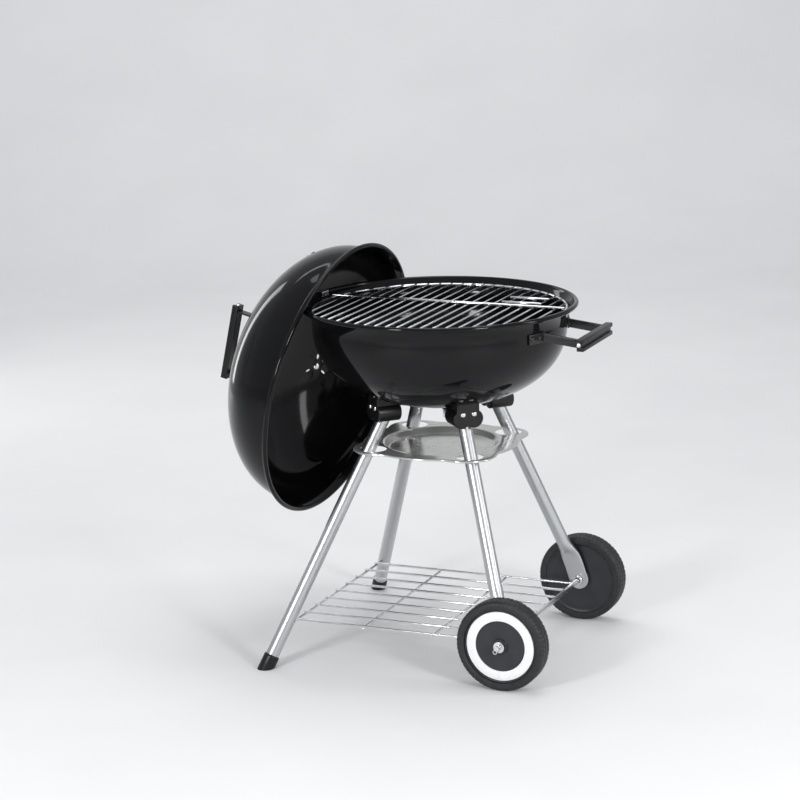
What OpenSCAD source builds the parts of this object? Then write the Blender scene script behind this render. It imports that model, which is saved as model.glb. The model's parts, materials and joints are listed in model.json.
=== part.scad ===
// Kettle charcoal grill on a four-leg cart, with its lid hung on the side of the bowl.
// +X points to the wheel and bowl-handle side, -Y to the front, +Z up, and the ground is z = 0.
// The origin is on the ground below the middle of the whole object's box.

/* [Kettle] */
// Outer diameter of the bowl's rolled rim
bowl_d = 450; // [446:1:454]
// Height of the top of the rim above the ground
rim_z = 575; // [572:1:578]
// Thickness of the pressed steel of the bowl and the lid
shell_t = 1.2; // [1:0.1:1.5]
// Radius of the rolled bead at the rims
bead_r = 4; // [3.5:0.5:4]
// Outer radius of the bowl below its flared rim
belly_r = 207; // [206:0.5:207.5]
// Depth from the rim's top to where the belly starts to curve in
belly_top = 35; // [34:1:36]
// Height of the curved part of the bowl
belly_h = 132; // [131:1:133]
// Exponent of the bowl's curve, where 2 is an ellipse
belly_n = 2.2; // [2.15:0.01:2.25]
// Radius of the flat bottom of the bowl
bottom_r = 58; // [56:1:60]

/* [Lid] */
// Outer diameter of the lid's rolled lip
lid_d = 466; // [464:1:468]
// Outer radius of the dome at its base
dome_r = 221; // [220:0.5:222]
// Height of the flared lip below the dome
lip_h = 20; // [19:1:21]
// Height of the dome above the lip
dome_h = 142; // [140:1:144]
// Distance from the kettle's axis to the middle of the hung lid's opening
lid_out = 187; // [186:0.5:190]
// Height of the middle of the hung lid's opening
lid_z = 430; // [429:0.5:431]
// Lean of the hung lid's axis above the horizontal, degrees
lid_lean = 12.9; // [12.5:0.1:13.3]
// Turn of the hung lid about the kettle's axis, towards the back, degrees
lid_turn = 4.6; // [4:0.1:5]

/* [Dampers] */
// Radius of the damper discs
damper_r = 35; // [34:0.5:36]
// Radius of the air holes
air_hole_r = 8.5; // [8:0.5:9]
// Distance from a damper's pivot to its air holes
air_hole_out = 19; // [18.5:0.5:20]
// Distance from the lid's axis to its damper
lid_damper_out = 155; // [153:1:157]
// Direction of the lid's damper about the lid's axis, degrees
lid_damper_turn = 108; // [100:1:115]
// How far the lid's damper disc is turned from fully open, where 60 is shut, degrees
lid_damper_shut = 42; // [0:1:60]

/* [Cooking and charcoal grates] */
// Depth of the cooking grate below the top of the rim
grate_depth = 12; // [11:0.5:13]
// Radius of the middle of the cooking grate's outer ring
grate_ring_r = 206; // [204:0.5:206]
// Number of parallel wires in the cooking grate
grate_wires = 21; // [19:2:21]
// Distance between the cooking grate's wires
grate_pitch = 18.6; // [17:0.2:18.6]
// Depth of the charcoal grate below the top of the rim
coal_depth = 110; // [108:1:112]
// Radius of the middle of the charcoal grate's outer ring
coal_ring_r = 165; // [163:1:166]

/* [Legs] */
// Outer diameter of the leg tubes
leg_d = 22; // [21:0.5:22]
// Wall of the leg tubes
leg_wall = 1.2; // [1:0.1:1.5]
// Sideways distance from the kettle's axis to a leg where it enters its socket
leg_top_x = 71; // [70.5:0.5:71.5]
// Front to back distance from the kettle's axis to a leg where it enters its socket
leg_top_y = 75; // [74.5:0.5:75.5]
// Height at which a leg enters its socket
leg_top_z = 390; // [389.5:0.5:390.5]
// Sideways distance from the kettle's axis to a left foot
foot_x = 220; // [218:1:222]
// Front to back distance from the kettle's axis to a left foot
foot_y = 230; // [228:1:232]

/* [Cart] */
// Sideways distance from the kettle's axis to the wheel axle
axle_x = 176; // [175:0.5:177]
// Diameter of the wheel axle
axle_d = 8; // [7.9:0.1:8]
// Outer radius of the wheels
wheel_r = 73; // [72:0.5:74]
// Width of the wheels
wheel_w = 33; // [32:0.5:33.5]
// Height of the ash plate
plate_z = 342; // [340:1:344]
// Radius of the ash plate between its ears
plate_r = 128; // [127:0.5:129]
// Diameter of the shelf's wires
shelf_wire_d = 4; // [3.8:0.1:4]

/* [Handles] */
// Length of the bowl handle's grip
grip_l = 144; // [142:1:146]
// Height of the bowl handle's grip
grip_h = 19; // [18:0.5:20]
// Thickness of both grips
grip_t = 11; // [10.5:0.5:11]
// Distance from the kettle's axis to the inner face of the bowl handle's grip
grip_x = 259; // [257:0.5:261]
// Length of the lid handle's grip
lid_grip_l = 130; // [128:1:132]
// Distance from the top of the dome to the middle of the lid handle's grip
lid_grip_out = 50; // [48:0.5:51]

/* [Hidden] */
$fn = 64;

// Fits and gaps
eps = 0.01;
gap = 0.3;          // between parts that move past each other
pivot_gap = 0.05;   // radial, between a pivot and its hole
through = 60;       // length of a cutter that passes right through a wall

// Kettle
bowl_r = bowl_d / 2;
bead_out = bowl_r - bead_r;
bead_z = rim_z - bead_r;
belly_z = rim_z - belly_top;
bottom_z = belly_z - belly_h + 1;
flare_top = bead_out - bead_r + 1;
curve_steps = 26;
flare_steps = 6;

// Lid
lid_r = lid_d / 2;
lid_flare_top = lid_r - 2 * bead_r + 1;

// Dampers
damper_t = 1;
lever_out = 59;
lever_w = 10;
lever_drop = 12;
between_holes = 60;
lid_tab_out = 26;
lid_tab_w = 8;
lid_tab_h = 12;
lid_tab_sink = 1.3;
damper_gap = 0.8;
rivet_r = 3;
rivet_head_r = 6;
rivet_head_t = 1.6;
rivet_back_gap = 0.15;   // under the curved lid
dish_r = 215;
dome_slope = atan(lid_damper_out * pow(dome_h, 2)
    / (pow(dome_r, 2) * dome_height(lid_damper_out, 0)));

// Grates
grate_z = rim_z - grate_depth;
grate_ring_wire = 2.5;
grate_wire = 1.75;
grate_bar_wire = 2.25;
grate_wire_z = 1.2;
grate_bar_y = 32;
weld_sink = 0.6;    // how far welded wires sink into each other
grate_bar_z = grate_wire_z + grate_wire + grate_bar_wire - weld_sink;
lift_bar_x = [grate_pitch * 4.7, grate_pitch * 8.3];
lift_bar_y = [55, 95];
coal_z = rim_z - coal_depth;
coal_ring_wire = 3;
coal_wire = 2.5;
coal_wire_z = 1.6;
coal_bar_z = coal_wire_z - 2 * coal_wire + weld_sink;
coal_wires = 13;
coal_pitch = 24;
tab_t = 2;
tab_w = 20;
tab_reach = 9;      // how far a tab reaches inside its grate's ring
tab_drop = 16;
coal_tab_turns = [45, 135, 225, 315];
grate_tab_turns = [20, 110, 200, 290];

// Legs and sockets
leg_r = leg_d / 2;
left_foot = [foot_x, foot_y, 0];
leg_top = [leg_top_x, leg_top_y, leg_top_z];
socket_turn = atan2(leg_top_y, leg_top_x);
leg_in = 16;        // how far a leg goes into its socket
socket_front = 121;
socket_back = 80;
socket_lobe_r = 15;
socket_lobe_out = 10.5;
socket_neck = 19;   // half width above the lobes
socket_low = 389;
lug_in = 88;
lug_t = 3;
lug_w = 34;
lug_low = 405;
bolt_out = 9.5;
bolt_z = 412;
bolt_r = 2.5;
bolt_head_r = 4;
bolt_head_t = 2.6;
nut_af = 8;
nut_t = 3.6;
cap_l = 24;
cap_wall = 1.8;

// Flattened lower ends of the right legs
flat_y = 172;
flat_t = 4;
flat_w = 33;
knee = [164, 168, 110];
knee_l = 26;

// Ash plate
ear_out = 106;
ear_r = 46;
plate_hole_out = 121.5;
plate_hole_r = 22;
plate_t = 0.8;
dish_in = 84;
dish_out = 96;
dish_depth = 9;

// Axle and wheels
axle_r = axle_d / 2;
axle_z = wheel_r;
axle_end = 220;
wheel_in = 176;
wheel_out = wheel_in + wheel_w;
tyre_in = 60;
tyre_round = 6;
ring_out = 56;
ring_in = 41;
ring_t = 2;
disc_face = 27;
disc_inner = 4;
hub_r = 14;
bush_r = 7;
washer_r = 9;
washer_t = 1.2;
pin_y = 214.5;
pin_r = 1;
pin_turn = 215;     // direction of the cotter pins about the axle

// Shelf
wire_r = shelf_wire_d / 2;
eye_r = axle_r + 0.2 + wire_r;
shelf_z = axle_z - eye_r;
shelf_y = 166;
shelf_wires = 9;
cross_z = shelf_z - 2 * wire_r + 0.3;
shelf_right = axle_x - 10;
shelf_left = -leg_point(-1, -1, cross_z)[0];

// Handles
grip_top = 541;
arm_y = 60;
arm_t = 3;
arm_h = 14;
arm_in_top = 546;
arm_out_top = 539;
flange_t = 2.5;
flange_gap = 0.35;
flange_turn = [15.4, 26];
flange_h = 16;
handle_rivets = [19.2, 24];
handle_rivet_r = 2;
small_head_r = 4;
small_head_t = 1.6;
groove_h = 7;
groove_t = 3;
screw_r = 2.2;
screw_head_r = 4;
screw_head_t = 2;
lid_arm_in = 10;    // from a grip's end to its arm
lid_flange_l = 28;
lid_arm_rivets = [0.35, 0.8];   // along the flange
lid_grip_z = lip_h + dome_h + lid_grip_out;
lid_arm_x = lid_grip_l / 2 - lid_arm_in;

// Hook
hook_t = 2;
hook_w = 22;
hook_foot = 188;
hook_foot_l = 24;
hook_foot_gap = 1.1;
hook_out = 5.5;     // from the rim's edge to the middle of the strap outside it
hook_in = 14;       // from the rim's edge to the middle of the tongue inside it
hook_rise = 12;
hook_tongue = 7;

// The middle of the whole object's box, seen from the kettle's axis
lid_reach = lid_out + (lid_grip_z + grip_t / 2) * cos(lid_lean) + lid_grip_l / 2 * sin(lid_lean);
box_mid_x = (grip_x + grip_t - lid_reach) / 2;

// ---- Curves and small helpers ----

// Outer profile of the bowl, made thinner all round by t: from the bottom's middle to the bead
function bowl_curve(t) = concat(
    [[0, bottom_z + t], [bottom_r, bottom_z + t]],
    [for (i = [6 : curve_steps])
        let (a = 90 * (1 - i / curve_steps))
        [(belly_r - t) * pow(cos(a), 2 / belly_n), belly_z - (belly_h - t) * pow(sin(a), 2 / belly_n)]],
    [for (i = [1 : flare_steps])
        let (k = i / flare_steps)
        [belly_r - t + (flare_top - belly_r) * k * k,
         belly_z + 3 + (belly_top - 3 - bead_r) * k]]
);

// Inner radius of the bowl at height z
function bowl_inner_r(z) =
    (belly_r - shell_t)
    * pow(max(0, 1 - pow(max(0, belly_z - z) / (belly_h - shell_t), belly_n)), 1 / belly_n);

// Outer profile of the lid in its own frame, made thinner all round by t
function lid_curve(t) = concat(
    [for (i = [0 : flare_steps - 1])
        let (k = 1 - i / flare_steps)
        [dome_r - t + (lid_flare_top - dome_r) * k * k, bead_r + (lip_h - 3 - bead_r) * (1 - k)]],
    [for (i = [0 : curve_steps])
        let (a = 90 * i / curve_steps)
        [(dome_r - t) * cos(a), lip_h + (dome_h - t) * sin(a)]]
);

// Height of the dome above its base at distance r from its axis, t under the outside
function dome_height(r, t) = (dome_h - t) * sqrt(1 - pow(r / (dome_r - t), 2));

// Point on a left or right leg's axis at height z, in the quarter given by the signs
function leg_point(sx, sy, z) =
    let (low = sx < 0 ? left_foot : knee,
         k = (leg_top[2] - z) / (leg_top[2] - low[2]))
    [leg_top[0] + (low[0] - leg_top[0]) * k, leg_top[1] + (low[1] - leg_top[1]) * k, z];

// Outline of a strip of thickness t along a path of points
function unit(v) = v / norm(v);
function side_step(path, i, t) =
    let (n = len(path),
         before = unit(path[min(i, n - 2) + 1] - path[min(i, n - 2)]),
         after = unit(path[max(i, 1)] - path[max(i, 1) - 1]),
         mid = unit(before + after))
    [-mid[1], mid[0]] * t / 2 / (mid * before);
function strip(path, t) = concat(
    [for (i = [0 : len(path) - 1]) path[i] + side_step(path, i, t)],
    [for (i = [len(path) - 1 : -1 : 0]) path[i] - side_step(path, i, t)]
);

// Turns the local Z axis onto the line from one point to another and starts there
module along(from, to) {
    v = to - from;
    translate(from)
        rotate([0, 0, atan2(v[1], v[0])])
            rotate([0, acos(v[2] / norm(v)), 0])
                children();
}

module rod(from, to, r) {
    along(from, to) cylinder(h = norm(to - from), r = r, $fn = 32);
}

module ring_wire(r, wire) {
    rotate_extrude($fn = 128) translate([r, 0]) circle(r = wire, $fn = 32);
}

// A rivet or button head on the local XY plane with its shank below
module button(head_r, head_t, shank_r, shank_l) {
    cylinder(h = head_t * 0.5, r = head_r);
    translate([0, 0, head_t * 0.5]) cylinder(h = head_t * 0.5, r1 = head_r, r2 = head_r * 0.6);
    translate([0, 0, -shank_l]) cylinder(h = shank_l, r = shank_r);
}

// Puts the kettle's axis where the whole object's box is centred on the origin
module home() {
    translate([-box_mid_x, 0, 0]) children();
}

module quarter(sx, sy) {
    mirror([sx < 0 ? 1 : 0, 0, 0]) mirror([0, sy < 0 ? 1 : 0, 0]) children();
}

// ---- Bowl ----

module bowl_outside() {
    rotate_extrude($fn = 128) polygon(concat(bowl_curve(0), [[0, bead_z]]));
}

module bowl_inside() {
    rotate_extrude($fn = 360) polygon(concat(bowl_curve(shell_t), [[0, bead_z]]));
}

module air_holes(r) {
    for (i = [0 : 2])
        rotate([0, 0, 120 * i]) translate([air_hole_out, 0, -through / 2]) cylinder(h = through, r = r);
}

module bowl() {
    outer = bowl_curve(0);
    inner = bowl_curve(shell_t);
    color("#17181a")
    difference() {
        rotate_extrude($fn = 128) {
            polygon(concat(outer, [for (i = [len(inner) - 1 : -1 : 0]) inner[i]]));
            translate([bead_out, bead_z]) circle(r = bead_r, $fn = 32);
        }
        translate([0, 0, bottom_z]) air_holes(air_hole_r);
        translate([0, 0, bottom_z - through / 2]) cylinder(h = through, r = rivet_r);
        for (side = [-1, 1], turn = handle_rivets)
            handle_rivet_at(side, turn) translate([0, 0, -through / 2])
                cylinder(h = through, r = handle_rivet_r, $fn = 24);
    }
}

module bowl_damper() {
    color("#b9bcc0")
    translate([0, 0, bottom_z - gap - damper_t])
    difference() {
        union() {
            cylinder(h = damper_t, r = damper_r);
            rotate([0, 0, -between_holes]) {
                translate([0, -lever_w / 2, 0]) cube([lever_out, lever_w, damper_t]);
                translate([lever_out - damper_t, -lever_w / 2, -lever_drop])
                    cube([damper_t, lever_w, lever_drop + eps]);
            }
        }
        air_holes(air_hole_r);
        translate([0, 0, -eps]) cylinder(h = damper_t + 2 * eps, r = rivet_r + pivot_gap);
    }
}

module bowl_damper_rivet() {
    color("#c9ccd0")
    translate([0, 0, bottom_z - 2 * gap - damper_t])
    mirror([0, 0, 1]) {
        button(rivet_head_r, rivet_head_t, rivet_r, damper_t + 2 * gap + shell_t);
        translate([0, 0, -damper_t - 2 * gap - shell_t - rivet_head_t])
            cylinder(h = rivet_head_t, r = rivet_head_r);
    }
}

// ---- Leg sockets under the bowl ----

module socket_frame(sx, sy) {
    quarter(sx, sy) rotate([0, 0, socket_turn]) children();
}

module bolt_axes() {
    for (side = [-1, 1])
        translate([0, side * bolt_out, bolt_z]) rotate([0, 90, 0]) children();
}

module leg_lugs() {
    color("#17181a")
    for (sx = [-1, 1], sy = [-1, 1])
        difference() {
            socket_frame(sx, sy)
            difference() {
                translate([lug_in, -lug_w / 2, lug_low]) cube([lug_t, lug_w, through / 2]);
                bolt_axes() cylinder(h = 2 * socket_front, r = bolt_r, $fn = 24);
            }
            bowl_outside();
        }
}

module leg_socket(sx, sy) {
    top = leg_point(sx, sy, leg_top_z + leg_in);
    low = leg_point(sx, sy, leg_top_z - through);
    color("#141517")
    difference() {
        quarter(sx, sy)
        difference() {
            rotate([0, 0, socket_turn])
            difference() {
                translate([socket_back, 0, 0]) rotate([90, 0, 90])
                    linear_extrude(socket_front - socket_back) {
                        for (side = [-1, 1])
                            translate([side * socket_lobe_out, socket_low + socket_lobe_r])
                                circle(r = socket_lobe_r);
                        translate([-socket_neck, socket_low + socket_lobe_r])
                            square([2 * socket_neck, through]);
                    }
                translate([socket_back - 1, -through / 2, lug_low - 0.5])
                    cube([lug_in + lug_t - socket_back + 1, through, through]);
                bolt_axes() cylinder(h = 2 * socket_front, r = bolt_r, $fn = 24);
            }
            rod(low, top, leg_r);
        }
        bowl_outside();
    }
}

module socket_bolts() {
    color("#c9ccd0")
    for (sx = [-1, 1], sy = [-1, 1])
        socket_frame(sx, sy) bolt_axes()
            translate([0, 0, socket_front])
                button(bolt_head_r, bolt_head_t, bolt_r, socket_front - lug_in + nut_t + 1);
}

module socket_nuts() {
    color("#a9acb0")
    for (sx = [-1, 1], sy = [-1, 1])
        socket_frame(sx, sy) bolt_axes()
            translate([0, 0, lug_in - nut_t]) difference() {
                rotate([0, 0, 30]) cylinder(h = nut_t, r = nut_af / sqrt(3), $fn = 6);
                translate([0, 0, -eps]) cylinder(h = nut_t + 2 * eps, r = bolt_r, $fn = 24);
            }
}

// ---- Grates ----

// Parallel wires welded onto a ring, each ending on the ring's middle line
module wire_grid(count, pitch, ring_r, wire, z) {
    for (i = [0 : count - 1])
        let (x = (i - (count - 1) / 2) * pitch, y = sqrt(ring_r * ring_r - x * x))
        rod([x, -y, z], [x, y, z], wire);
}

// One long bar and two short ones, which the grate is lifted by, lie across the top of the wires
module cooking_grate() {
    bar_x = sqrt(grate_ring_r * grate_ring_r - grate_bar_y * grate_bar_y);
    color("#b4b7ba")
    translate([0, 0, grate_z]) {
        ring_wire(grate_ring_r, grate_ring_wire);
        wire_grid(grate_wires, grate_pitch, grate_ring_r, grate_wire, grate_wire_z);
        rod([-bar_x, grate_bar_y, grate_bar_z], [bar_x, grate_bar_y, grate_bar_z], grate_bar_wire);
        for (y = lift_bar_y)
            rod([lift_bar_x[0], y, grate_bar_z], [lift_bar_x[1], y, grate_bar_z], grate_bar_wire);
    }
}

module charcoal_grate() {
    color("#8f9396")
    translate([0, 0, coal_z]) {
        ring_wire(coal_ring_r, coal_ring_wire);
        wire_grid(coal_wires, coal_pitch, coal_ring_r, coal_wire, coal_wire_z);
        rod([-coal_ring_r, 0, coal_bar_z], [coal_ring_r, 0, coal_bar_z], coal_wire);
    }
}

// Bent tabs on the inside of the bowl that a grate's ring rests on
module grate_tabs(z, reach, turns) {
    top = z + tab_t / 2;
    low = z - tab_drop;
    wall = bowl_inner_r(z);
    outline = [[reach, top], [wall + 5 * tab_t, top], [wall + 5 * tab_t, low],
        [bowl_inner_r(low) - tab_t, low], [wall - tab_t, top - tab_t], [reach, top - tab_t]];
    color("#2a2b2d")
    intersection() {
        bowl_inside();
        for (turn = turns)
            rotate([0, 0, turn]) translate([0, tab_w / 2, 0]) rotate([90, 0, 0])
                linear_extrude(tab_w) polygon(outline);
    }
}

module charcoal_grate_tabs() {
    grate_tabs(coal_z - coal_ring_wire - tab_t / 2 - gap, coal_ring_r - tab_reach, coal_tab_turns);
}

module cooking_grate_tabs() {
    grate_tabs(grate_z - grate_ring_wire - tab_t / 2 - gap, grate_ring_r - tab_reach, grate_tab_turns);
}

// ---- Bowl handle ----

module handle_rivet_at(side, turn) {
    rotate([0, 0, side * turn])
        translate([belly_r, 0, arm_in_top - arm_h / 2]) rotate([0, 90, 0]) children();
}

module bowl_handle_grip() {
    color("#101112")
    difference() {
        translate([grip_x, -grip_l / 2, grip_top - grip_h]) cube([grip_t, grip_l, grip_h]);
        translate([grip_x + grip_t - groove_t, -grip_l / 2 - 1, grip_top - grip_h / 2 - groove_h / 2])
            cube([groove_t + 1, grip_l + 2, groove_h]);
        for (side = [-1, 1]) {
            translate([grip_x - 1, side * arm_y - arm_t / 2, arm_out_top - arm_h])
                cube([grip_t / 2 + 1, arm_t, arm_h]);
            grip_screw_at(side) translate([0, 0, -grip_l / 6])
                cylinder(h = grip_l / 3, r = screw_r, $fn = 24);
        }
    }
}

module grip_screw_at(side) {
    translate([grip_x + grip_t * 0.25, side * grip_l / 2, arm_out_top - arm_h / 2])
        rotate([side < 0 ? 90 : -90, 0, 0]) children();
}

module bowl_handle_arm(side) {
    x_in = sqrt(pow(belly_r + flange_gap + flange_t / 2, 2) - pow(arm_y, 2));
    x_out = grip_x + grip_t / 2;
    color("#141517")
    difference() {
        union() {
            translate([0, side * arm_y + arm_t / 2, 0]) rotate([90, 0, 0]) linear_extrude(arm_t)
                polygon([[x_in, arm_in_top], [grip_x, arm_out_top], [x_out, arm_out_top],
                    [x_out, arm_out_top - arm_h], [grip_x, arm_out_top - arm_h],
                    [x_in, arm_in_top - arm_h]]);
            mirror([0, side > 0 ? 0 : 1, 0])
                rotate([0, 0, flange_turn[0]])
                    translate([0, 0, arm_in_top - (arm_h + flange_h) / 2])
                        rotate_extrude(angle = flange_turn[1] - flange_turn[0], $fn = 128)
                            translate([belly_r + flange_gap, 0]) square([flange_t, flange_h]);
        }
        grip_screw_at(side) translate([0, 0, -grip_l / 6]) cylinder(h = grip_l / 3, r = screw_r, $fn = 24);
        for (turn = handle_rivets)
            handle_rivet_at(side, turn) translate([0, 0, -through / 4])
                cylinder(h = through / 2, r = handle_rivet_r, $fn = 24);
    }
}

module bowl_handle_screws() {
    color("#c9ccd0")
    for (side = [-1, 1])
        grip_screw_at(side) button(screw_head_r, screw_head_t, screw_r, grip_l / 8);
}

module bowl_handle_rivets() {
    color("#141517")
    for (side = [-1, 1], turn = handle_rivets)
        handle_rivet_at(side, turn) translate([0, 0, flange_t + flange_gap])
            button(small_head_r, small_head_t, handle_rivet_r, flange_t + shell_t + 1);
}

// ---- Legs ----

module leg_tube(top, low) {
    difference() {
        rod(low, top, leg_r);
        rod(low - (top - low) * eps, top + (top - low) * eps, leg_r - leg_wall);
    }
}

// A left leg, cut level with the ground, with a hole for the shelf's end wire
module leg_left(sy) {
    top = leg_point(-1, sy, leg_top_z + leg_in);
    low = leg_point(-1, sy, -leg_r);
    hole = leg_point(-1, sy, cross_z);
    color("#a7abae")
    quarter(-1, sy)
    difference() {
        leg_tube(top, low);
        translate([foot_x, foot_y, -through]) translate([-through, -through, cap_wall])
            cube([2 * through, 2 * through, through]);
        translate(hole) rotate([90, 0, 0]) cylinder(h = through, r = wire_r + 0.1, $fn = 32);
    }
}

// A right leg, with its lower end flattened, bent upright and drilled for the axle
module leg_right(sy) {
    top = leg_point(1, sy, leg_top_z + leg_in);
    bend = leg_point(1, sy, knee[2] + knee_l);
    plug = leg_point(1, sy, knee[2] + knee_l + 3);
    color("#a7abae")
    quarter(1, sy)
    difference() {
        union() {
            leg_tube(top, bend);
            hull() {
                along(plug, knee) cylinder(h = 1, r = leg_r - 0.5, $fn = 32);
                translate([knee[0], flat_y, knee[2]]) rotate([90, 0, 0])
                    cylinder(h = flat_t, r = flat_w / 2, center = true, $fn = 32);
            }
            hull() {
                for (p = [[knee[0], knee[2]], [axle_x, axle_z]])
                    translate([p[0], flat_y, p[1]]) rotate([90, 0, 0])
                        cylinder(h = flat_t, r = flat_w / 2, center = true, $fn = 32);
            }
        }
        translate([axle_x, flat_y, axle_z]) rotate([90, 0, 0])
            cylinder(h = through, r = axle_r + pivot_gap, center = true);
    }
}

module foot_cap(sy) {
    low = leg_point(-1, sy, -leg_r);
    high = leg_point(-1, sy, cap_l);
    color("#151617")
    quarter(-1, sy)
    difference() {
        rod(low, high, leg_r + cap_wall);
        translate([foot_x - through, foot_y - through, -through]) cube([2 * through, 2 * through, through]);
        difference() {
            rod(low, high + (high - low), leg_r);
            translate([foot_x - through, foot_y - through, cap_wall - through])
                cube([2 * through, 2 * through, through]);
        }
    }
}

// ---- Ash plate ----

module plate_outline() {
    circle(r = plate_r, $fn = 96);
    for (i = [0 : 3]) rotate([0, 0, 45 + 90 * i]) translate([ear_out, 0]) circle(r = ear_r);
}

module ash_plate() {
    color("#c3c6c9")
    translate([0, 0, plate_z]) {
        difference() {
            linear_extrude(plate_t) plate_outline();
            translate([0, 0, -1]) cylinder(h = plate_t + 2, r = dish_out - 0.4, $fn = 96);
            for (sx = [-1, 1], sy = [-1, 1]) quarter(sx, sy)
                rotate([0, 0, socket_turn]) translate([plate_hole_out, 0, -1])
                    cylinder(h = plate_t + 2, r = plate_hole_r);
        }
        rotate_extrude($fn = 96)
            polygon(concat(
                [[0, -dish_depth], [dish_in, -dish_depth], [dish_out, 0], [dish_out, plate_t]],
                [[dish_out - 1, plate_t], [dish_in - 1, plate_t - dish_depth], [0, plate_t - dish_depth]]));
    }
}

// ---- Shelf and axle ----

module shelf() {
    reach = leg_point(-1, 1, cross_z)[1] - 1;
    span = shelf_right - shelf_left;
    color("#c3c6c9") {
        for (i = [0 : shelf_wires - 1])
            let (y = shelf_y * (2 * i / (shelf_wires - 1) - 1),
                 x = abs(y) == shelf_y ? axle_x : shelf_right + wire_r)
            rod([shelf_left - wire_r, y, shelf_z], [x, y, shelf_z], wire_r);
        rod([shelf_left, -reach, cross_z], [shelf_left, reach, cross_z], wire_r);
        for (k = [1/3, 2/3, 1])
            rod([shelf_left + span * k, -shelf_y, cross_z],
                [shelf_left + span * k, shelf_y, cross_z], wire_r);
        for (side = [-1, 1])
            translate([axle_x, side * shelf_y, axle_z]) rotate([90, 0, 0])
                rotate_extrude() translate([eye_r, 0]) circle(r = wire_r, $fn = 32);
    }
}

module axle() {
    color("#c9ccd0")
    difference() {
        translate([axle_x, 0, axle_z]) rotate([90, 0, 0])
            cylinder(h = 2 * axle_end, r = axle_r, center = true);
        for (side = [-1, 1])
            translate([axle_x, side * pin_y, axle_z]) rotate([0, pin_turn, 0])
                cylinder(h = through, r = pin_r, center = true, $fn = 24);
    }
}

module axle_side(side) {
    translate([axle_x, 0, axle_z]) rotate([side < 0 ? 90 : -90, 0, 0]) children();
}

module axle_washers() {
    color("#b4b7ba")
    for (side = [-1, 1], y = [flat_y + flat_t / 2, wheel_out + 3 * gap])
        axle_side(side) translate([0, 0, y]) difference() {
            cylinder(h = washer_t, r = washer_r);
            translate([0, 0, -eps]) cylinder(h = washer_t + 2 * eps, r = axle_r);
        }
}

module cotter_pins() {
    eye = 3;
    color("#c9ccd0")
    for (side = [-1, 1])
        translate([axle_x, side * pin_y, axle_z]) rotate([0, pin_turn, 0]) {
            translate([0, 0, -axle_r * 2]) cylinder(h = axle_r * 3.4, r = pin_r, $fn = 24);
            translate([0, 0, axle_r * 1.4 + eye]) rotate([90, 0, 0])
                rotate_extrude() translate([eye, 0]) circle(r = pin_r, $fn = 24);
        }
}

// ---- Wheels, drawn with the local Z axis pointing away from the cart ----

module wheel_place(side) {
    axle_side(side) translate([0, 0, wheel_in]) children();
}

module wheel_tyre(side) {
    color("#1b1c1e")
    wheel_place(side) rotate_extrude($fn = 96) {
        translate([tyre_in, 0]) square([wheel_r - tyre_in - tyre_round, wheel_w]);
        translate([tyre_in, tyre_round]) square([wheel_r - tyre_in, wheel_w - 2 * tyre_round]);
        for (z = [tyre_round, wheel_w - tyre_round])
            translate([wheel_r - tyre_round, z]) circle(r = tyre_round, $fn = 48);
    }
}

module wheel_disc(side) {
    color("#1f2022")
    wheel_place(side) difference() {
        union() {
            translate([0, 0, disc_inner]) cylinder(h = disc_face - disc_inner, r = tyre_in, $fn = 96);
            cylinder(h = disc_face, r = hub_r);
        }
        translate([0, 0, -1]) cylinder(h = wheel_w + 2, r = bush_r);
    }
}

module wheel_ring(side) {
    color("#eceef0")
    wheel_place(side) translate([0, 0, disc_face]) difference() {
        cylinder(h = ring_t, r = ring_out, $fn = 96);
        translate([0, 0, -1]) cylinder(h = ring_t + 2, r = ring_in, $fn = 96);
    }
}

module wheel_bush(side) {
    color("#2c2d2f")
    wheel_place(side) difference() {
        cylinder(h = wheel_w + 2 * gap, r = bush_r);
        translate([0, 0, -1]) cylinder(h = wheel_w + 2, r = axle_r + pivot_gap);
    }
}

// ---- Lid, drawn opening down with its lip on z = 0, then hung on the bowl ----

module hung() {
    rotate([0, 0, -lid_turn]) translate([-lid_out, 0, lid_z]) rotate([0, lid_lean - 90, 0]) children();
}

module lid_damper_at() {
    rotate([0, 0, lid_damper_turn])
        translate([lid_damper_out, 0, lip_h + dome_height(lid_damper_out, 0)])
            rotate([0, dome_slope, 0])
                children();
}

// A handle arm's foot follows the dome's slope outwards from where the arm stands
function lid_arm_path() =
    let (base = lid_arm_x - arm_t / 2,
         far = lid_arm_x + lid_flange_l,
         lift = flange_t / 2 + 1)
    [[lid_arm_x, lid_grip_z], [lid_arm_x, lip_h + dome_height(base, 0) + lift],
        [far, lip_h + dome_height(far, 0) + lift - 0.6]];

module lid_handle_rivet_at(side, k) {
    path = lid_arm_path();
    p = path[1] + (path[2] - path[1]) * k;
    slope = atan2(path[1][1] - path[2][1], path[2][0] - path[1][0]);
    mirror([side < 0 ? 1 : 0, 0, 0]) translate([p[0], 0, p[1]]) rotate([0, slope, 0]) children();
}

module lid() {
    outer = lid_curve(0);
    inner = lid_curve(shell_t);
    color("#17181a")
    hung() difference() {
        rotate_extrude($fn = 128) {
            polygon(concat(outer, [for (i = [len(inner) - 1 : -1 : 0]) inner[i]]));
            translate([lid_r - bead_r, bead_r]) circle(r = bead_r, $fn = 32);
        }
        lid_damper_at() {
            air_holes(air_hole_r);
            translate([0, 0, -through / 2]) cylinder(h = through, r = rivet_r);
        }
        for (side = [-1, 1], k = lid_arm_rivets)
            lid_handle_rivet_at(side, k) translate([0, 0, -through / 2])
                cylinder(h = through, r = handle_rivet_r, $fn = 24);
        for (k = [-1, 1])
            hook_rivet_at(k) translate([0, 0, -through / 4])
                cylinder(h = through / 2, r = handle_rivet_r, $fn = 24);
    }
}

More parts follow.
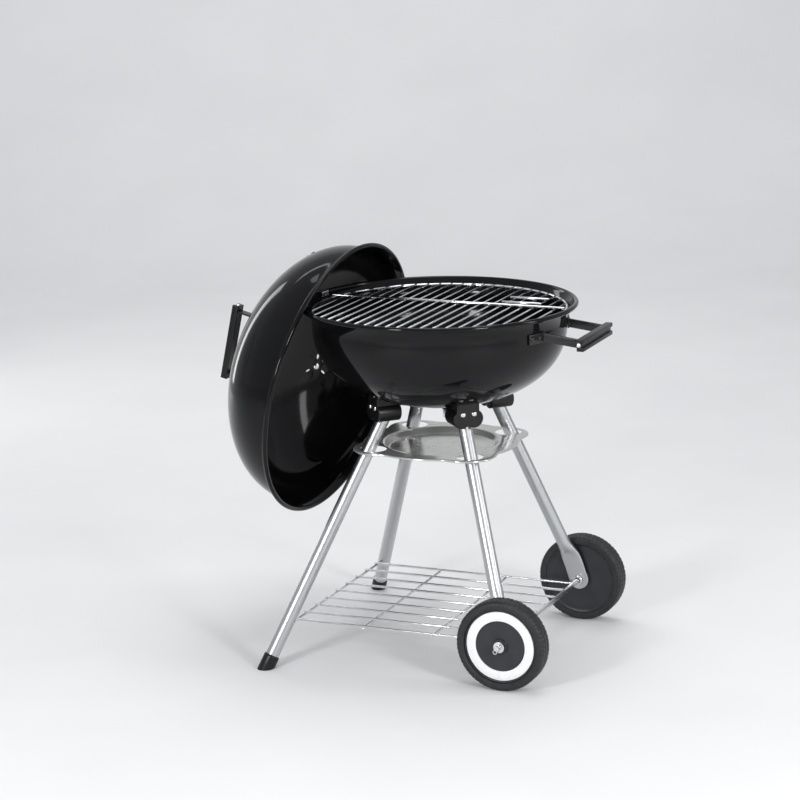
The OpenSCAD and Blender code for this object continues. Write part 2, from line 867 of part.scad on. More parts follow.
module lid_damper() {
    color("#c3c6c9")
    hung() lid_damper_at() translate([0, 0, damper_gap]) rotate([0, 0, lid_damper_shut])
    difference() {
        union() {
            rotate_extrude($fn = 64) intersection() {
                translate([0, -dish_r]) difference() {
                    circle(r = dish_r + damper_t, $fn = 256);
                    circle(r = dish_r, $fn = 256);
                }
                translate([0, -damper_r / 2]) square([damper_r, damper_r]);
            }
            rotate([0, 0, between_holes]) translate([lid_tab_out, -lid_tab_w / 2, -lid_tab_sink])
                cube([damper_t, lid_tab_w, lid_tab_h]);
        }
        air_holes(air_hole_r);
        translate([0, 0, -damper_r]) cylinder(h = 2 * damper_r, r = rivet_r + pivot_gap);
    }
}

module lid_damper_rivet() {
    grip = damper_gap + damper_t + gap;
    color("#d4d6d9")
    hung() lid_damper_at() translate([0, 0, grip]) {
        button(rivet_head_r, rivet_head_t, rivet_r, grip + shell_t + rivet_back_gap);
        translate([0, 0, -grip - shell_t - rivet_back_gap - rivet_head_t])
            cylinder(h = rivet_head_t, r = rivet_head_r);
    }
}

// A point of the hung lid's middle plane, given from the kettle's axis, in the lid's own frame
function lid_local(x, z) =
    let (dx = x + lid_out, dz = z - lid_z)
    [dx * sin(lid_lean) + dz * cos(lid_lean), -dx * cos(lid_lean) + dz * sin(lid_lean)];

function hook_foot_point(k) =
    let (h = dome_height(hook_foot, shell_t),
         nx = hook_foot / pow(dome_r, 2),
         nz = h / pow(dome_h, 2),
         n = [nx, nz] / norm([nx, nz]))
    [hook_foot, lip_h + h] - n * (hook_t / 2 + hook_foot_gap) + [-n[1], n[0]] * k * hook_foot_l / 2;

function hook_path() = [
    hook_foot_point(-1),
    hook_foot_point(1),
    lid_local(-bowl_r - hook_out, rim_z + hook_rise),
    lid_local(-bowl_r - hook_out, rim_z + gap + hook_t / 2),
    lid_local(-bowl_r + hook_in, rim_z + gap + hook_t / 2),
    lid_local(-bowl_r + hook_in, rim_z - hook_tongue)
];

module hook_rivet_at(k) {
    a = hook_foot_point(-1);
    b = hook_foot_point(1);
    p = (a + b) / 2 + (b - a) * k * 0.25;
    slope = atan2(b[1] - a[1], b[0] - a[0]);
    translate([p[0], 0, p[1]]) rotate([0, 180 - slope, 0]) children();
}

module lid_hook() {
    color("#b9bcc0")
    hung() difference() {
        translate([0, hook_w / 2, 0]) rotate([90, 0, 0]) linear_extrude(hook_w)
            polygon(strip(hook_path(), hook_t));
        for (k = [-1, 1])
            hook_rivet_at(k) translate([0, 0, -through / 4])
                cylinder(h = through / 2, r = handle_rivet_r, $fn = 24);
    }
}

module lid_hook_rivets() {
    color("#17181a")
    hung() for (k = [-1, 1])
        hook_rivet_at(k) {
            translate([0, 0, hook_t / 2 + hook_foot_gap + shell_t + gap])
                button(small_head_r, small_head_t, handle_rivet_r, hook_t + hook_foot_gap + shell_t + gap);
            translate([0, 0, -hook_t / 2 - small_head_t]) cylinder(h = small_head_t, r = small_head_r);
        }
}

module lid_grip_screw_at(side) {
    translate([side * lid_grip_l / 2, 0, lid_grip_z]) rotate([0, side * 90, 0]) children();
}

module lid_handle_grip() {
    color("#101112")
    hung() difference() {
        translate([-lid_grip_l / 2, -grip_h / 2, lid_grip_z - grip_t / 2]) cube([lid_grip_l, grip_h, grip_t]);
        translate([-lid_grip_l / 2 - 1, -groove_h / 2, lid_grip_z + grip_t / 2 - groove_t])
            cube([lid_grip_l + 2, groove_h, groove_t + 1]);
        for (side = [-1, 1]) {
            translate([side * lid_arm_x - arm_t / 2, -arm_h / 2, lid_grip_z - grip_t])
                cube([arm_t, arm_h, grip_t]);
            lid_grip_screw_at(side) translate([0, 0, -grip_l / 6])
                cylinder(h = grip_l / 3, r = screw_r, $fn = 24);
        }
    }
}

module lid_handle_arm(side) {
    color("#141517")
    hung() difference() {
        mirror([side < 0 ? 1 : 0, 0, 0])
            translate([0, arm_h / 2, 0]) rotate([90, 0, 0]) linear_extrude(arm_h)
                polygon(strip(lid_arm_path(), arm_t));
        lid_grip_screw_at(side) translate([0, 0, -grip_l / 6])
            cylinder(h = grip_l / 3, r = screw_r, $fn = 24);
        for (k = lid_arm_rivets)
            lid_handle_rivet_at(side, k) translate([0, 0, -through / 4])
                cylinder(h = through / 2, r = handle_rivet_r, $fn = 24);
    }
}

module lid_handle_screws() {
    color("#c9ccd0")
    hung() for (side = [-1, 1])
        lid_grip_screw_at(side) button(screw_head_r, screw_head_t, screw_r, grip_l / 8);
}

module lid_handle_rivets() {
    color("#141517")
    hung() for (side = [-1, 1], k = lid_arm_rivets)
        lid_handle_rivet_at(side, k) translate([0, 0, arm_t / 2])
            button(small_head_r, small_head_t, handle_rivet_r, arm_t + shell_t + 1);
}

home() bowl();
home() bowl_damper();
home() bowl_damper_rivet();
home() leg_lugs();
home() charcoal_grate();
home() charcoal_grate_tabs();
home() cooking_grate();
home() cooking_grate_tabs();
home() bowl_handle_grip();
home() bowl_handle_arm(-1);  // bowl_handle_front_arm
home() bowl_handle_arm(1);  // bowl_handle_back_arm
home() bowl_handle_screws();
home() bowl_handle_rivets();
home() leg_left(-1);  // leg_front_left
home() leg_left(1);  // leg_back_left
home() leg_right(-1);  // leg_front_right
home() leg_right(1);  // leg_back_right
home() leg_socket(-1, -1);  // leg_socket_front_left
home() leg_socket(-1, 1);  // leg_socket_back_left
home() leg_socket(1, -1);  // leg_socket_front_right
home() leg_socket(1, 1);  // leg_socket_back_right
home() socket_bolts();
home() socket_nuts();
home() foot_cap(-1);  // foot_cap_front
home() foot_cap(1);  // foot_cap_back
home() ash_plate();
home() shelf();
home() axle();
home() axle_washers();
home() cotter_pins();
home() wheel_tyre(-1);  // front_wheel_tyre
home() wheel_disc(-1);  // front_wheel_disc
home() wheel_ring(-1);  // front_wheel_ring
home() wheel_bush(-1);  // front_wheel_bush
home() wheel_tyre(1);  // back_wheel_tyre
home() wheel_disc(1);  // back_wheel_disc
home() wheel_ring(1);  // back_wheel_ring
home() wheel_bush(1);  // back_wheel_bush
home() lid();
home() lid_damper();
home() lid_damper_rivet();
home() lid_hook();
home() lid_hook_rivets();
home() lid_handle_grip();
home() lid_handle_arm(1);  // lid_handle_upper_arm
home() lid_handle_arm(-1);  // lid_handle_lower_arm
home() lid_handle_screws();
home() lid_handle_rivets();
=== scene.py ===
"""Kettle charcoal grill with its lid hung on the side of the bowl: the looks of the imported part.

Lengths are metres, in the part's own frame: +X to the wheels, -Y to the front, +Z up. Each piece is built
where the kettle's axis, the hung lid or a wheel has its own simple frame, and is then put in its place.
"""

import json
import math

import bmesh
import bpy
from mathutils import Matrix, Vector


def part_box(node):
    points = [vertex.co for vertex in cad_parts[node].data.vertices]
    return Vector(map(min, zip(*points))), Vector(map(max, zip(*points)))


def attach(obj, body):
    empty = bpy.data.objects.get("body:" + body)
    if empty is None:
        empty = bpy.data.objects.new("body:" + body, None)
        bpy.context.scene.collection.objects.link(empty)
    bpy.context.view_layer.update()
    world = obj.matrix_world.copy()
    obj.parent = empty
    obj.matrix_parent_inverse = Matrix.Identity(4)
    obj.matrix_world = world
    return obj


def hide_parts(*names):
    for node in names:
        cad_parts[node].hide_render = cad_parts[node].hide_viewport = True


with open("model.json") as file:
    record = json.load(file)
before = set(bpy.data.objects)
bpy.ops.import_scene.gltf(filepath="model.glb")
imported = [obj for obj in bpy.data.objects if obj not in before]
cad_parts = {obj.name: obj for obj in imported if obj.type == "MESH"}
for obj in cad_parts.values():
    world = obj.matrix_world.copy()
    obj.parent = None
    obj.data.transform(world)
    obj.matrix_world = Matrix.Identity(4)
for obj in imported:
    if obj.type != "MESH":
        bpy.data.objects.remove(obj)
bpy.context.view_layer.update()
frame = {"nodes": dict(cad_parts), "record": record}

MM = 0.001

# ---- Places, from the frame ----

BOWL_LOW, BOWL_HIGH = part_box("bowl")
KETTLE_X = (BOWL_LOW.x + BOWL_HIGH.x) / 2
RIM_R = (BOWL_HIGH.x - BOWL_LOW.x) / 2
RIM_Z = BOWL_HIGH.z
BOTTOM_Z = BOWL_LOW.z
HOME = Matrix.Translation((KETTLE_X, 0, 0))

# Kettle shells
SHELL_T = 1.2 * MM
BEAD_R = 4 * MM
BELLY_R = 207 * MM
BELLY_Z = RIM_Z - 35 * MM
BELLY_N = 2.2
BOTTOM_R = 58 * MM
AIR_HOLE_R = 8.5 * MM
AIR_HOLE_OUT = 19 * MM
DAMPER_R = 35 * MM

# Lid, drawn opening down with its lip on z = 0
LID_R = 233 * MM
DOME_R = 221 * MM
LIP_H = 20 * MM
DOME_H = 142 * MM
LID_LEAN = math.radians(12.9)
LID_TURN = math.radians(4.6)
LID_OUT = 187 * MM
LID_Z = 430 * MM
HUNG = (
    HOME
    @ Matrix.Rotation(-LID_TURN, 4, "Z")
    @ Matrix.Translation((-LID_OUT, 0, LID_Z))
    @ Matrix.Rotation(LID_LEAN - math.pi / 2, 4, "Y")
)
LID_DAMPER_OUT = 155 * MM
LID_DAMPER_DIRECTION = math.radians(108)
LID_DAMPER_SHUT = math.radians(42)

# Cart
LEG_R = 11 * MM
LEG_TOP = Vector((71, 75, 390)) * MM
SOCKET_TURN = math.atan2(LEG_TOP.y, LEG_TOP.x)
LEG_IN = 16 * MM
LEFT_FOOT = Vector((220, 230, 0)) * MM
KNEE = Vector((164, 168, 110)) * MM
FLAT_Y = 172 * MM
FLAT_T = 4 * MM
FLAT_W = 33 * MM
AXLE_LOW, AXLE_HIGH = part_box("axle")
AXLE_X = (AXLE_LOW.x + AXLE_HIGH.x) / 2 - KETTLE_X
AXLE_Z = (AXLE_LOW.z + AXLE_HIGH.z) / 2
AXLE_R = (AXLE_HIGH.x - AXLE_LOW.x) / 2
WHEEL_R = AXLE_Z
WHEEL_IN = 176 * MM
WHEEL_W = 33 * MM
PLATE_Z = 342 * MM


# ---- Mesh helpers ----

ROW_FRAME = Matrix.Identity(4)
ON_AXIS = 1e-6
MERGE_DISTANCE = 0.002 * MM
FLAT_ANGLE = math.radians(0.4)
SHARP_ANGLE = math.radians(32)
WIRE_END_LENGTH = 0.35
WIRE_END_RADIUS = 0.62

def spin(bm, profile, segments=160, shape=None):
    """Turns a profile of (radius, height) points about Z. shape(angle, index) may change a point's radius."""
    rings = []
    for i, (r, z) in enumerate(profile):
        if r < ON_AXIS:
            rings.append([bm.verts.new((0, 0, z))] * segments)
            continue
        ring = []
        for k in range(segments):
            a = 2 * math.pi * k / segments
            radius = r + (shape(a, i) if shape else 0)
            ring.append(bm.verts.new((radius * math.cos(a), radius * math.sin(a), z)))
        rings.append(ring)
    for low, high in zip(rings, rings[1:]):
        join_rings(bm, low, high)
    return rings


def join_rings(bm, low, high):
    """Faces between two closed rings of points, either of which may be one point."""
    count = len(low)
    for k in range(count):
        n = (k + 1) % count
        corners = []
        for v in (low[k], low[n], high[n], high[k]):
            if v not in corners:
                corners.append(v)
        if len(corners) > 2:
            bm.faces.new(corners)


def closed_spin(bm, profile, segments=160, shape=None):
    """Spins a closed section, such as a ring's."""
    rings = spin(bm, profile, segments, shape)
    join_rings(bm, rings[-1], rings[0])


def arc(cx, cz, r, start, end, steps):
    """Points on an arc, with its angles in degrees."""
    points = []
    for i in range(steps + 1):
        a = math.radians(start + (end - start) * i / steps)
        points.append((cx + r * math.cos(a), cz + r * math.sin(a)))
    return points


def rounded(points, radius, steps=6):
    """A path with each inner corner turned into a smooth bend that starts radius away from it."""
    points = [Vector(p) for p in points]
    path = [points[0]]
    for before, corner, after in zip(points, points[1:], points[2:]):
        cut_in = min(radius, (before - corner).length * 0.48)
        cut_out = min(radius, (after - corner).length * 0.48)
        start = corner + (before - corner).normalized() * cut_in
        end = corner + (after - corner).normalized() * cut_out
        for i in range(steps + 1):
            t = i / steps
            path.append(start * (1 - t) ** 2 + corner * 2 * t * (1 - t) + end * t**2)
    path.append(points[-1])
    return path


def sweep(bm, path, radius, sides=14, closed=False):
    """A round wire along a path. Its ends taper over a short length, in shares of the wire's radius."""
    path = [Vector(p) for p in path]
    radii = [radius] * len(path)
    if not closed:
        start = (path[1] - path[0]).normalized()
        end = (path[-1] - path[-2]).normalized()
        soft = radius * WIRE_END_LENGTH
        path = [path[0], path[0] + start * soft] + path[1:-1] + [path[-1] - end * soft, path[-1]]
        end_r = radius * WIRE_END_RADIUS
        radii = [end_r] + [radius] * (len(path) - 2) + [end_r]
    count = len(path)
    up = Vector((0, 0, 1))
    rings = []
    side = None
    for i, p in enumerate(path):
        before = path[i - 1] if i or closed else p
        after = path[(i + 1) % count] if i < count - 1 or closed else p
        along = (after - before).normalized()
        if side is None:
            side = along.cross(up if abs(along.z) < 0.9 else Vector((1, 0, 0))).normalized()
        side = (side - along * side.dot(along)).normalized()
        other = along.cross(side)
        ring = []
        for k in range(sides):
            a = 2 * math.pi * k / sides
            ring.append(bm.verts.new(p + (side * math.cos(a) + other * math.sin(a)) * radii[i]))
        rings.append(ring)
    for low, high in zip(rings, rings[1:]):
        join_rings(bm, low, high)
    if closed:
        join_rings(bm, rings[-1], rings[0])
    else:
        bm.faces.new(rings[0][::-1])
        bm.faces.new(rings[-1])


def circle_path(r, z, steps=128):
    """Points round a level circle."""
    return [
        (r * math.cos(2 * math.pi * k / steps), r * math.sin(2 * math.pi * k / steps), z)
        for k in range(steps)
    ]


def strap(bm, path, thickness, width):
    """A flat strip along a path in the XZ plane, as wide as given along Y."""
    path = [Vector(p) for p in path]
    normals = []
    for i in range(len(path)):
        along = path[min(i + 1, len(path) - 1)] - path[max(i - 1, 0)]
        normals.append(Vector((-along.z, 0, along.x)).normalized() * thickness / 2)
    half = Vector((0, width / 2, 0))
    rings = [
        [bm.verts.new(q) for q in (p + n - half, p + n + half, p - n + half, p - n - half)]
        for p, n in zip(path, normals)
    ]
    for low, high in zip(rings, rings[1:]):
        join_rings(bm, low, high)
    bm.faces.new(rings[0][::-1])
    bm.faces.new(rings[-1])


def soften_edges(bm, width, angle=32, segments=3):
    """Rounds the sharp edges of a mesh."""
    limit = math.radians(angle)
    sharp = [e for e in bm.edges if e.is_manifold and e.calc_face_angle(0) > limit]
    if sharp:
        bmesh.ops.bevel(
            bm, geom=sharp, offset=width, offset_type="OFFSET", segments=segments,
            profile=0.5, affect="EDGES", clamp_overlap=True, miter_outer="ARC",
        )


def add_piece(name, bm, slot, body, nodes, place=HOME, sharp=32):
    """Makes the mesh an object in its place, with its material, its body and the CAD nodes it replaces."""
    bm.transform(place)
    bmesh.ops.recalc_face_normals(bm, faces=bm.faces)
    if bm.calc_volume(signed=True) < 0:
        bmesh.ops.reverse_faces(bm, faces=bm.faces)
    mesh = bpy.data.meshes.new(name)
    bm.to_mesh(mesh)
    bm.free()
    mesh.shade_smooth()
    mesh.set_sharp_from_angle(angle=math.radians(sharp))
    piece = bpy.data.objects.new(name, mesh)
    bpy.context.scene.collection.objects.link(piece)
    mesh.materials.append(MATERIALS[slot])
    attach(piece, body)
    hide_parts(*nodes)
    return piece


def cut(piece, cutters):
    """Cuts holes through a piece. cutters is a mesh of closed solids in the row frame."""
    mesh = bpy.data.meshes.new("cutters")
    cutters.to_mesh(mesh)
    cutters.free()
    tool = bpy.data.objects.new("cutters", mesh)
    bpy.context.scene.collection.objects.link(tool)
    modifier = piece.modifiers.new("holes", "BOOLEAN")
    modifier.operation = "DIFFERENCE"
    modifier.solver = "EXACT"
    modifier.object = tool
    bpy.context.view_layer.update()
    evaluated = piece.evaluated_get(bpy.context.evaluated_depsgraph_get())
    result = bpy.data.meshes.new_from_object(evaluated)
    piece.modifiers.clear()
    piece.data = result
    bpy.data.objects.remove(tool)
    result.set_sharp_from_angle(angle=SHARP_ANGLE)


CUTTER_L = 20 * MM


def hole_cutters(places, r, length, segments=40):
    """Cylinders along the Z axes of the given places, each centred there."""
    bm = bmesh.new()
    for place in places:
        bmesh.ops.create_cone(
            bm, cap_ends=True, segments=segments, radius1=r, radius2=r, depth=length, matrix=place
        )
    return bm


def softened(name, slot, body, node, width):
    """A CAD node's own shape with its edges rounded."""
    bm = bmesh.new()
    bm.from_mesh(frame["nodes"][node].data)
    bmesh.ops.remove_doubles(bm, verts=bm.verts, dist=MERGE_DISTANCE)
    bmesh.ops.dissolve_limit(
        bm, angle_limit=FLAT_ANGLE, use_dissolve_boundaries=False, verts=bm.verts, edges=bm.edges
    )
    soften_edges(bm, width)
    return add_piece(name, bm, slot, body, [node], ROW_FRAME)


# ---- Materials ----


class Finish:
    """A Principled material whose colour, roughness and bump come from noise in the object's own space."""

    def __init__(self, name, metallic=0.0, coat=0.0, coat_roughness=0.03, ior=1.5):
        self.material = bpy.data.materials.new(name)
        self.material.use_nodes = True
        self.nodes = self.material.node_tree.nodes
        self.links = self.material.node_tree.links
        self.shader = self.nodes["Principled BSDF"]
        self.shader.inputs["Metallic"].default_value = metallic
        self.shader.inputs["Coat Weight"].default_value = coat
        self.shader.inputs["Coat Roughness"].default_value = coat_roughness
        self.shader.inputs["IOR"].default_value = ior
        self.coordinates = self.nodes.new("ShaderNodeTexCoord").outputs["Object"]
        self.normal = None

    def noise(self, scale, detail=3.0, roughness=0.55, stretch=(1, 1, 1)):
        mapping = self.nodes.new("ShaderNodeMapping")
        mapping.inputs["Scale"].default_value = stretch
        self.links.new(self.coordinates, mapping.inputs["Vector"])
        texture = self.nodes.new("ShaderNodeTexNoise")
        texture.inputs["Scale"].default_value = scale
        texture.inputs["Detail"].default_value = detail
        texture.inputs["Roughness"].default_value = roughness
        self.links.new(mapping.outputs["Vector"], texture.inputs["Vector"])
        return texture.outputs["Fac"]

    def spread(self, value, low, high, centre=0.5, width=0.25):
        """Maps a noise value onto a range."""
        node = self.nodes.new("ShaderNodeMapRange")
        node.inputs["From Min"].default_value = centre - width
        node.inputs["From Max"].default_value = centre + width
        node.inputs["To Min"].default_value = low
        node.inputs["To Max"].default_value = high
        self.links.new(value, node.inputs["Value"])
        return node.outputs["Result"]

    def colour(self, low, high, scale, stretch=(1, 1, 1), detail=3.0):
        ramp = self.nodes.new("ShaderNodeValToRGB")
        ramp.color_ramp.elements[0].position = 0.3
        ramp.color_ramp.elements[0].color = (*low, 1)
        ramp.color_ramp.elements[1].position = 0.7
        ramp.color_ramp.elements[1].color = (*high, 1)
        self.links.new(self.noise(scale, detail, stretch=stretch), ramp.inputs["Fac"])
        self.links.new(ramp.outputs["Color"], self.shader.inputs["Base Color"])
        return self

    def roughness(self, low, high, scale, stretch=(1, 1, 1), detail=3.0):
        value = self.spread(self.noise(scale, detail, stretch=stretch), low, high)
        self.links.new(value, self.shader.inputs["Roughness"])
        return self

    def bump(self, scale, strength, distance, stretch=(1, 1, 1), detail=2.0):
        node = self.nodes.new("ShaderNodeBump")
        node.inputs["Strength"].default_value = strength
        node.inputs["Distance"].default_value = distance
        self.links.new(self.noise(scale, detail, stretch=stretch), node.inputs["Height"])
        if self.normal is not None:
            self.links.new(self.normal, node.inputs["Normal"])
        self.normal = node.outputs["Normal"]
        self.links.new(self.normal, self.shader.inputs["Normal"])
        return self


def make_materials():
    finishes = {
        "black_enamel": Finish("gloss_enamel", ior=1.3)
        .colour((0.003, 0.0031, 0.0034), (0.0055, 0.0057, 0.0062), 9)
        .roughness(0.05, 0.12, 30)
        .bump(7, 0.25, 0.4 * MM, detail=1)
        .bump(420, 0.05, 0.05 * MM),
        "black_paint": Finish("semi_gloss_paint")
        .colour((0.006, 0.006, 0.0065), (0.011, 0.011, 0.0118), 60)
        .roughness(0.2, 0.34, 90)
        .bump(900, 0.12, 0.05 * MM),
        "black_plastic": Finish("moulded_plastic", ior=1.4)
        .colour((0.004, 0.004, 0.0044), (0.008, 0.008, 0.0086), 45)
        .roughness(0.3, 0.44, 160)
        .bump(2600, 0.16, 0.04 * MM),
        "damper_aluminium": Finish("satin_aluminium", metallic=1.0)
        .colour((0.62, 0.63, 0.64), (0.76, 0.77, 0.78), 120)
        .roughness(0.22, 0.36, 700)
        .bump(1200, 0.06, 0.03 * MM),
        # painted shade: a dark copy of the damper's aluminium for its underside, standing in for the shade
        # inside the lid
        "damper_underside": Finish("painted_shade_aluminium", metallic=1.0)
        .colour((0.022, 0.022, 0.024), (0.05, 0.05, 0.053), 60)
        .roughness(0.4, 0.55, 300)
        .bump(1200, 0.08, 0.03 * MM),
        "zinc_fastener": Finish("bright_zinc", metallic=1.0)
        .colour((0.66, 0.67, 0.69), (0.8, 0.81, 0.83), 300)
        .roughness(0.14, 0.3, 500)
        .bump(1500, 0.05, 0.03 * MM),
        "chromed_wire": Finish("chromed_wire", metallic=1.0)
        .colour((0.7, 0.71, 0.73), (0.84, 0.85, 0.86), 80)
        .roughness(0.1, 0.24, 260)
        .bump(700, 0.06, 0.05 * MM),
        "leg_silver": Finish("silver_leg_paint", metallic=1.0, coat=0.2, coat_roughness=0.12)
        .colour((0.5, 0.51, 0.52), (0.62, 0.63, 0.64), 1800, detail=1)
        .roughness(0.27, 0.36, 60)
        .bump(1400, 0.03, 0.03 * MM),
        "plate_steel": Finish("bright_sheet_steel", metallic=0.6)
        .colour((0.56, 0.56, 0.54), (0.66, 0.66, 0.64), 20)
        .roughness(0.12, 0.2, 240, stretch=(0.05, 1, 1))
        .bump(14, 0.2, 0.6 * MM, detail=1)
        .bump(600, 0.02, 0.03 * MM, stretch=(0.05, 1, 1)),
        "wheel_rubber": Finish("tyre_black", ior=1.45)
        .colour((0.013, 0.0135, 0.0148), (0.022, 0.0225, 0.0245), 70)
        .roughness(0.42, 0.58, 180)
        .bump(1600, 0.15, 0.05 * MM),
        "wheel_black": Finish("wheel_disc_black")
        .colour((0.014, 0.015, 0.018), (0.021, 0.0225, 0.026), 50)
        .roughness(0.34, 0.5, 140)
        .bump(2200, 0.14, 0.04 * MM),
        "wheel_white": Finish("white_trim")
        .colour((0.8, 0.81, 0.82), (0.88, 0.885, 0.89), 60)
        .roughness(0.2, 0.32, 150)
        .bump(900, 0.05, 0.03 * MM),
        "bush_nylon": Finish("nylon_bush")
        .colour((0.03, 0.03, 0.033), (0.05, 0.05, 0.054), 90)
        .roughness(0.35, 0.5, 200)
        .bump(1800, 0.1, 0.03 * MM),
    }
    return {slot: finish.material for slot, finish in finishes.items()}


MATERIALS = make_materials()


def dress_cad_nodes():
    """Every CAD node takes the material of its slot, whether or not a piece replaces it later."""
    for part in frame["record"]["subparts"]:
        data = frame["nodes"][part["node"]].data
        data.materials.clear()
        data.materials.append(MATERIALS[part["material_slot"]])


# ---- Bowl and lid shells ----

SHELL_SIDES = 200
REACH_OUTSIDE = 0.86
REACH_INSIDE = 0.97

def bowl_wall(t, reach=1.0):
    """Points up the bowl's wall, made thinner all round by t, as far as reach of the flare."""
    depth = BELLY_Z - BOTTOM_Z
    low = BOTTOM_Z + t
    points = [(0, low), (BOTTOM_R * 0.5, low), (BOTTOM_R * 0.94, low)]
    steps, first = 44, 9
    for i in range(first, steps + 1):
        a = math.pi / 2 * (1 - i / steps)
        r = (BELLY_R - t) * math.cos(a) ** (2 / BELLY_N)
        z = BELLY_Z - (depth + 1 * MM - t) * math.sin(a) ** (2 / BELLY_N)
        if r > BOTTOM_R:
            points.append((r, max(z, low + 0.3 * MM)))
    flare_r = RIM_R - 2 * BEAD_R + 1 * MM
    flare_low, flare_high = BELLY_Z + 3 * MM, RIM_Z - BEAD_R
    flare_steps = 12
    for i in range(1, flare_steps + 1):
        k = reach * i / flare_steps
        r = BELLY_R - t + (flare_r - BELLY_R) * k * k
        points.append((r, flare_low + (flare_high - flare_low) * k))
    return points


def build_bowl():
    bm = bmesh.new()
    curl = arc(RIM_R - BEAD_R, RIM_Z - BEAD_R, BEAD_R, -142, 172, 30)
    spin(bm, bowl_wall(0, REACH_OUTSIDE) + curl + bowl_wall(SHELL_T, REACH_INSIDE)[::-1], SHELL_SIDES)
    bowl = add_piece("bowl_shell", bm, "black_enamel", "cart", ["bowl"])
    cut_air_holes(bowl, HOME @ Matrix.Translation((0, 0, BOTTOM_Z)))


def cut_air_holes(piece, place):
    """Three air holes round the middle of the given place."""
    places = [
        place @ Matrix.Rotation(2 * math.pi * i / 3, 4, "Z") @ Matrix.Translation((AIR_HOLE_OUT, 0, 0))
        for i in range(3)
    ]
    cut(piece, hole_cutters(places, AIR_HOLE_R, CUTTER_L))


def dome_height(r, t=0.0):
    """Height of the dome above its base at distance r from its axis, t under the outside."""
    return (DOME_H - t) * math.sqrt(max(0.0, 1 - (r / (DOME_R - t)) ** 2))


def lid_wall(t, reach=1.0):
    """Points from the lid's lip to the top of its dome, made thinner all round by t."""
    points = []
    lip_r = LID_R - 2 * BEAD_R + 1 * MM
    flare_h = LIP_H - 3 * MM - BEAD_R
    steps = 8
    for i in range(steps):
        k = reach * (1 - i / steps)
        points.append((DOME_R - t + (lip_r - DOME_R) * k * k, BEAD_R + flare_h * (1 - k)))
    dome_steps = 56
    for i in range(dome_steps + 1):
        a = math.pi / 2 * i / dome_steps
        r = 0 if i == dome_steps else (DOME_R - t) * math.cos(a)
        points.append((r, LIP_H + (DOME_H - t) * math.sin(a)))
    return points


def lid_damper_place():
    """Where the lid's damper sits: its Z axis is square to the dome."""
    out = LID_DAMPER_OUT
    slope = math.atan(out * DOME_H**2 / (DOME_R**2 * dome_height(out)))
    return (
        HUNG
        @ Matrix.Rotation(LID_DAMPER_DIRECTION, 4, "Z")
        @ Matrix.Translation((out, 0, LIP_H + dome_height(out)))
        @ Matrix.Rotation(slope, 4, "Y")
    )


def build_lid():
    bm = bmesh.new()
    curl = arc(LID_R - BEAD_R, BEAD_R, BEAD_R, 142, -172, 30)
    spin(bm, lid_wall(0, REACH_OUTSIDE)[::-1] + curl + lid_wall(SHELL_T, REACH_INSIDE), SHELL_SIDES)
    lid = add_piece("lid_shell", bm, "black_enamel", "hung_lid", ["lid"], HUNG)
    cut_air_holes(lid, lid_damper_place())


# ---- Dampers ----


def paint_underside_shade(disc, place):
    """The side that faces into the lid is painted dark: painted shade for the shadow inside the lid, not a
    stain.
    """
    disc.data.materials.append(MATERIALS["damper_underside"])
    inwards = -(place.to_3x3() @ Vector((0, 0, 1)))
    for face in disc.data.polygons:
        if face.normal.dot(inwards) > 0.5:
            face.material_index = 1


def build_lid_damper():
    """A pressed disc that follows the dome, with a stiffening bead and a bent-up tab."""
    gap, t, dish_r, rings = 0.8 * MM, 1 * MM, 215 * MM, 28
    bead_out, bead_w, bead_h = 30 * MM, 1.6 * MM, 0.5 * MM

    def height(r):
        return gap - r * r / (2 * dish_r) + bead_h * math.exp(-(((r - bead_out) / bead_w) ** 2))

    radii = [DAMPER_R * i / rings for i in range(rings)]
    rim = height(DAMPER_R)
    top = [(r, height(r) + t) for r in radii] + [(DAMPER_R - 0.3 * MM, rim + t)]
    edge = [(DAMPER_R, rim + 0.6 * t), (DAMPER_R, rim + 0.25 * t)]
    bottom = [(r, height(r)) for r in radii][::-1]
    bm = bmesh.new()
    spin(bm, top + edge + bottom, 96)
    place = lid_damper_place() @ Matrix.Rotation(LID_DAMPER_SHUT, 4, "Z")
    disc = add_piece("lid_damper_disc", bm, "damper_aluminium", "lid_damper_disc", ["lid_damper"], place)
    cut_air_holes(disc, place)
    # painted shade on the disc's underside, which faces into the dark lid
    paint_underside_shade(disc, place)

    tab_out, tab_foot, tab_w, tab_top = 26 * MM, 9 * MM, 8 * MM, 10.5 * MM
    base = height(tab_out)
    path = [
        (tab_out - tab_foot, 0, base + t * 1.6),
        (tab_out, 0, base + t * 1.7),
        (tab_out + 1 * MM, 0, tab_top),
    ]
    bm = bmesh.new()
    strap(bm, rounded(path, 2 * MM), t, tab_w)
    soften_edges(bm, 0.25 * MM)
    turned = place @ Matrix.Rotation(math.radians(60), 4, "Z")
    add_piece("lid_damper_tab", bm, "damper_aluminium", "lid_damper_disc", ["lid_damper"], turned)


HEAD_CROWN = ((0.3, 0.97), (0.55, 0.86), (0.76, 0.66), (0.9, 0.42), (0.985, 0.18), (1, 0.06))


def domed_head(bm, r, h, place, shank_r=0.0, shank_l=0.0):
    """A rivet or screw head with a round crown, and its shank below. The crown is in shares of r and h."""
    profile = [(0, h)] + [(r * out, h * up) for out, up in HEAD_CROWN] + [(r * 0.97, 0)]
    if shank_r:
        profile += [(shank_r, 0), (shank_r, -shank_l), (0, -shank_l)]
    else:
        profile += [(0, 0)]
    start = len(bm.verts)
    spin(bm, profile, 40)
    bm.verts.ensure_lookup_table()
    bmesh.ops.transform(bm, matrix=place, verts=bm.verts[start:])


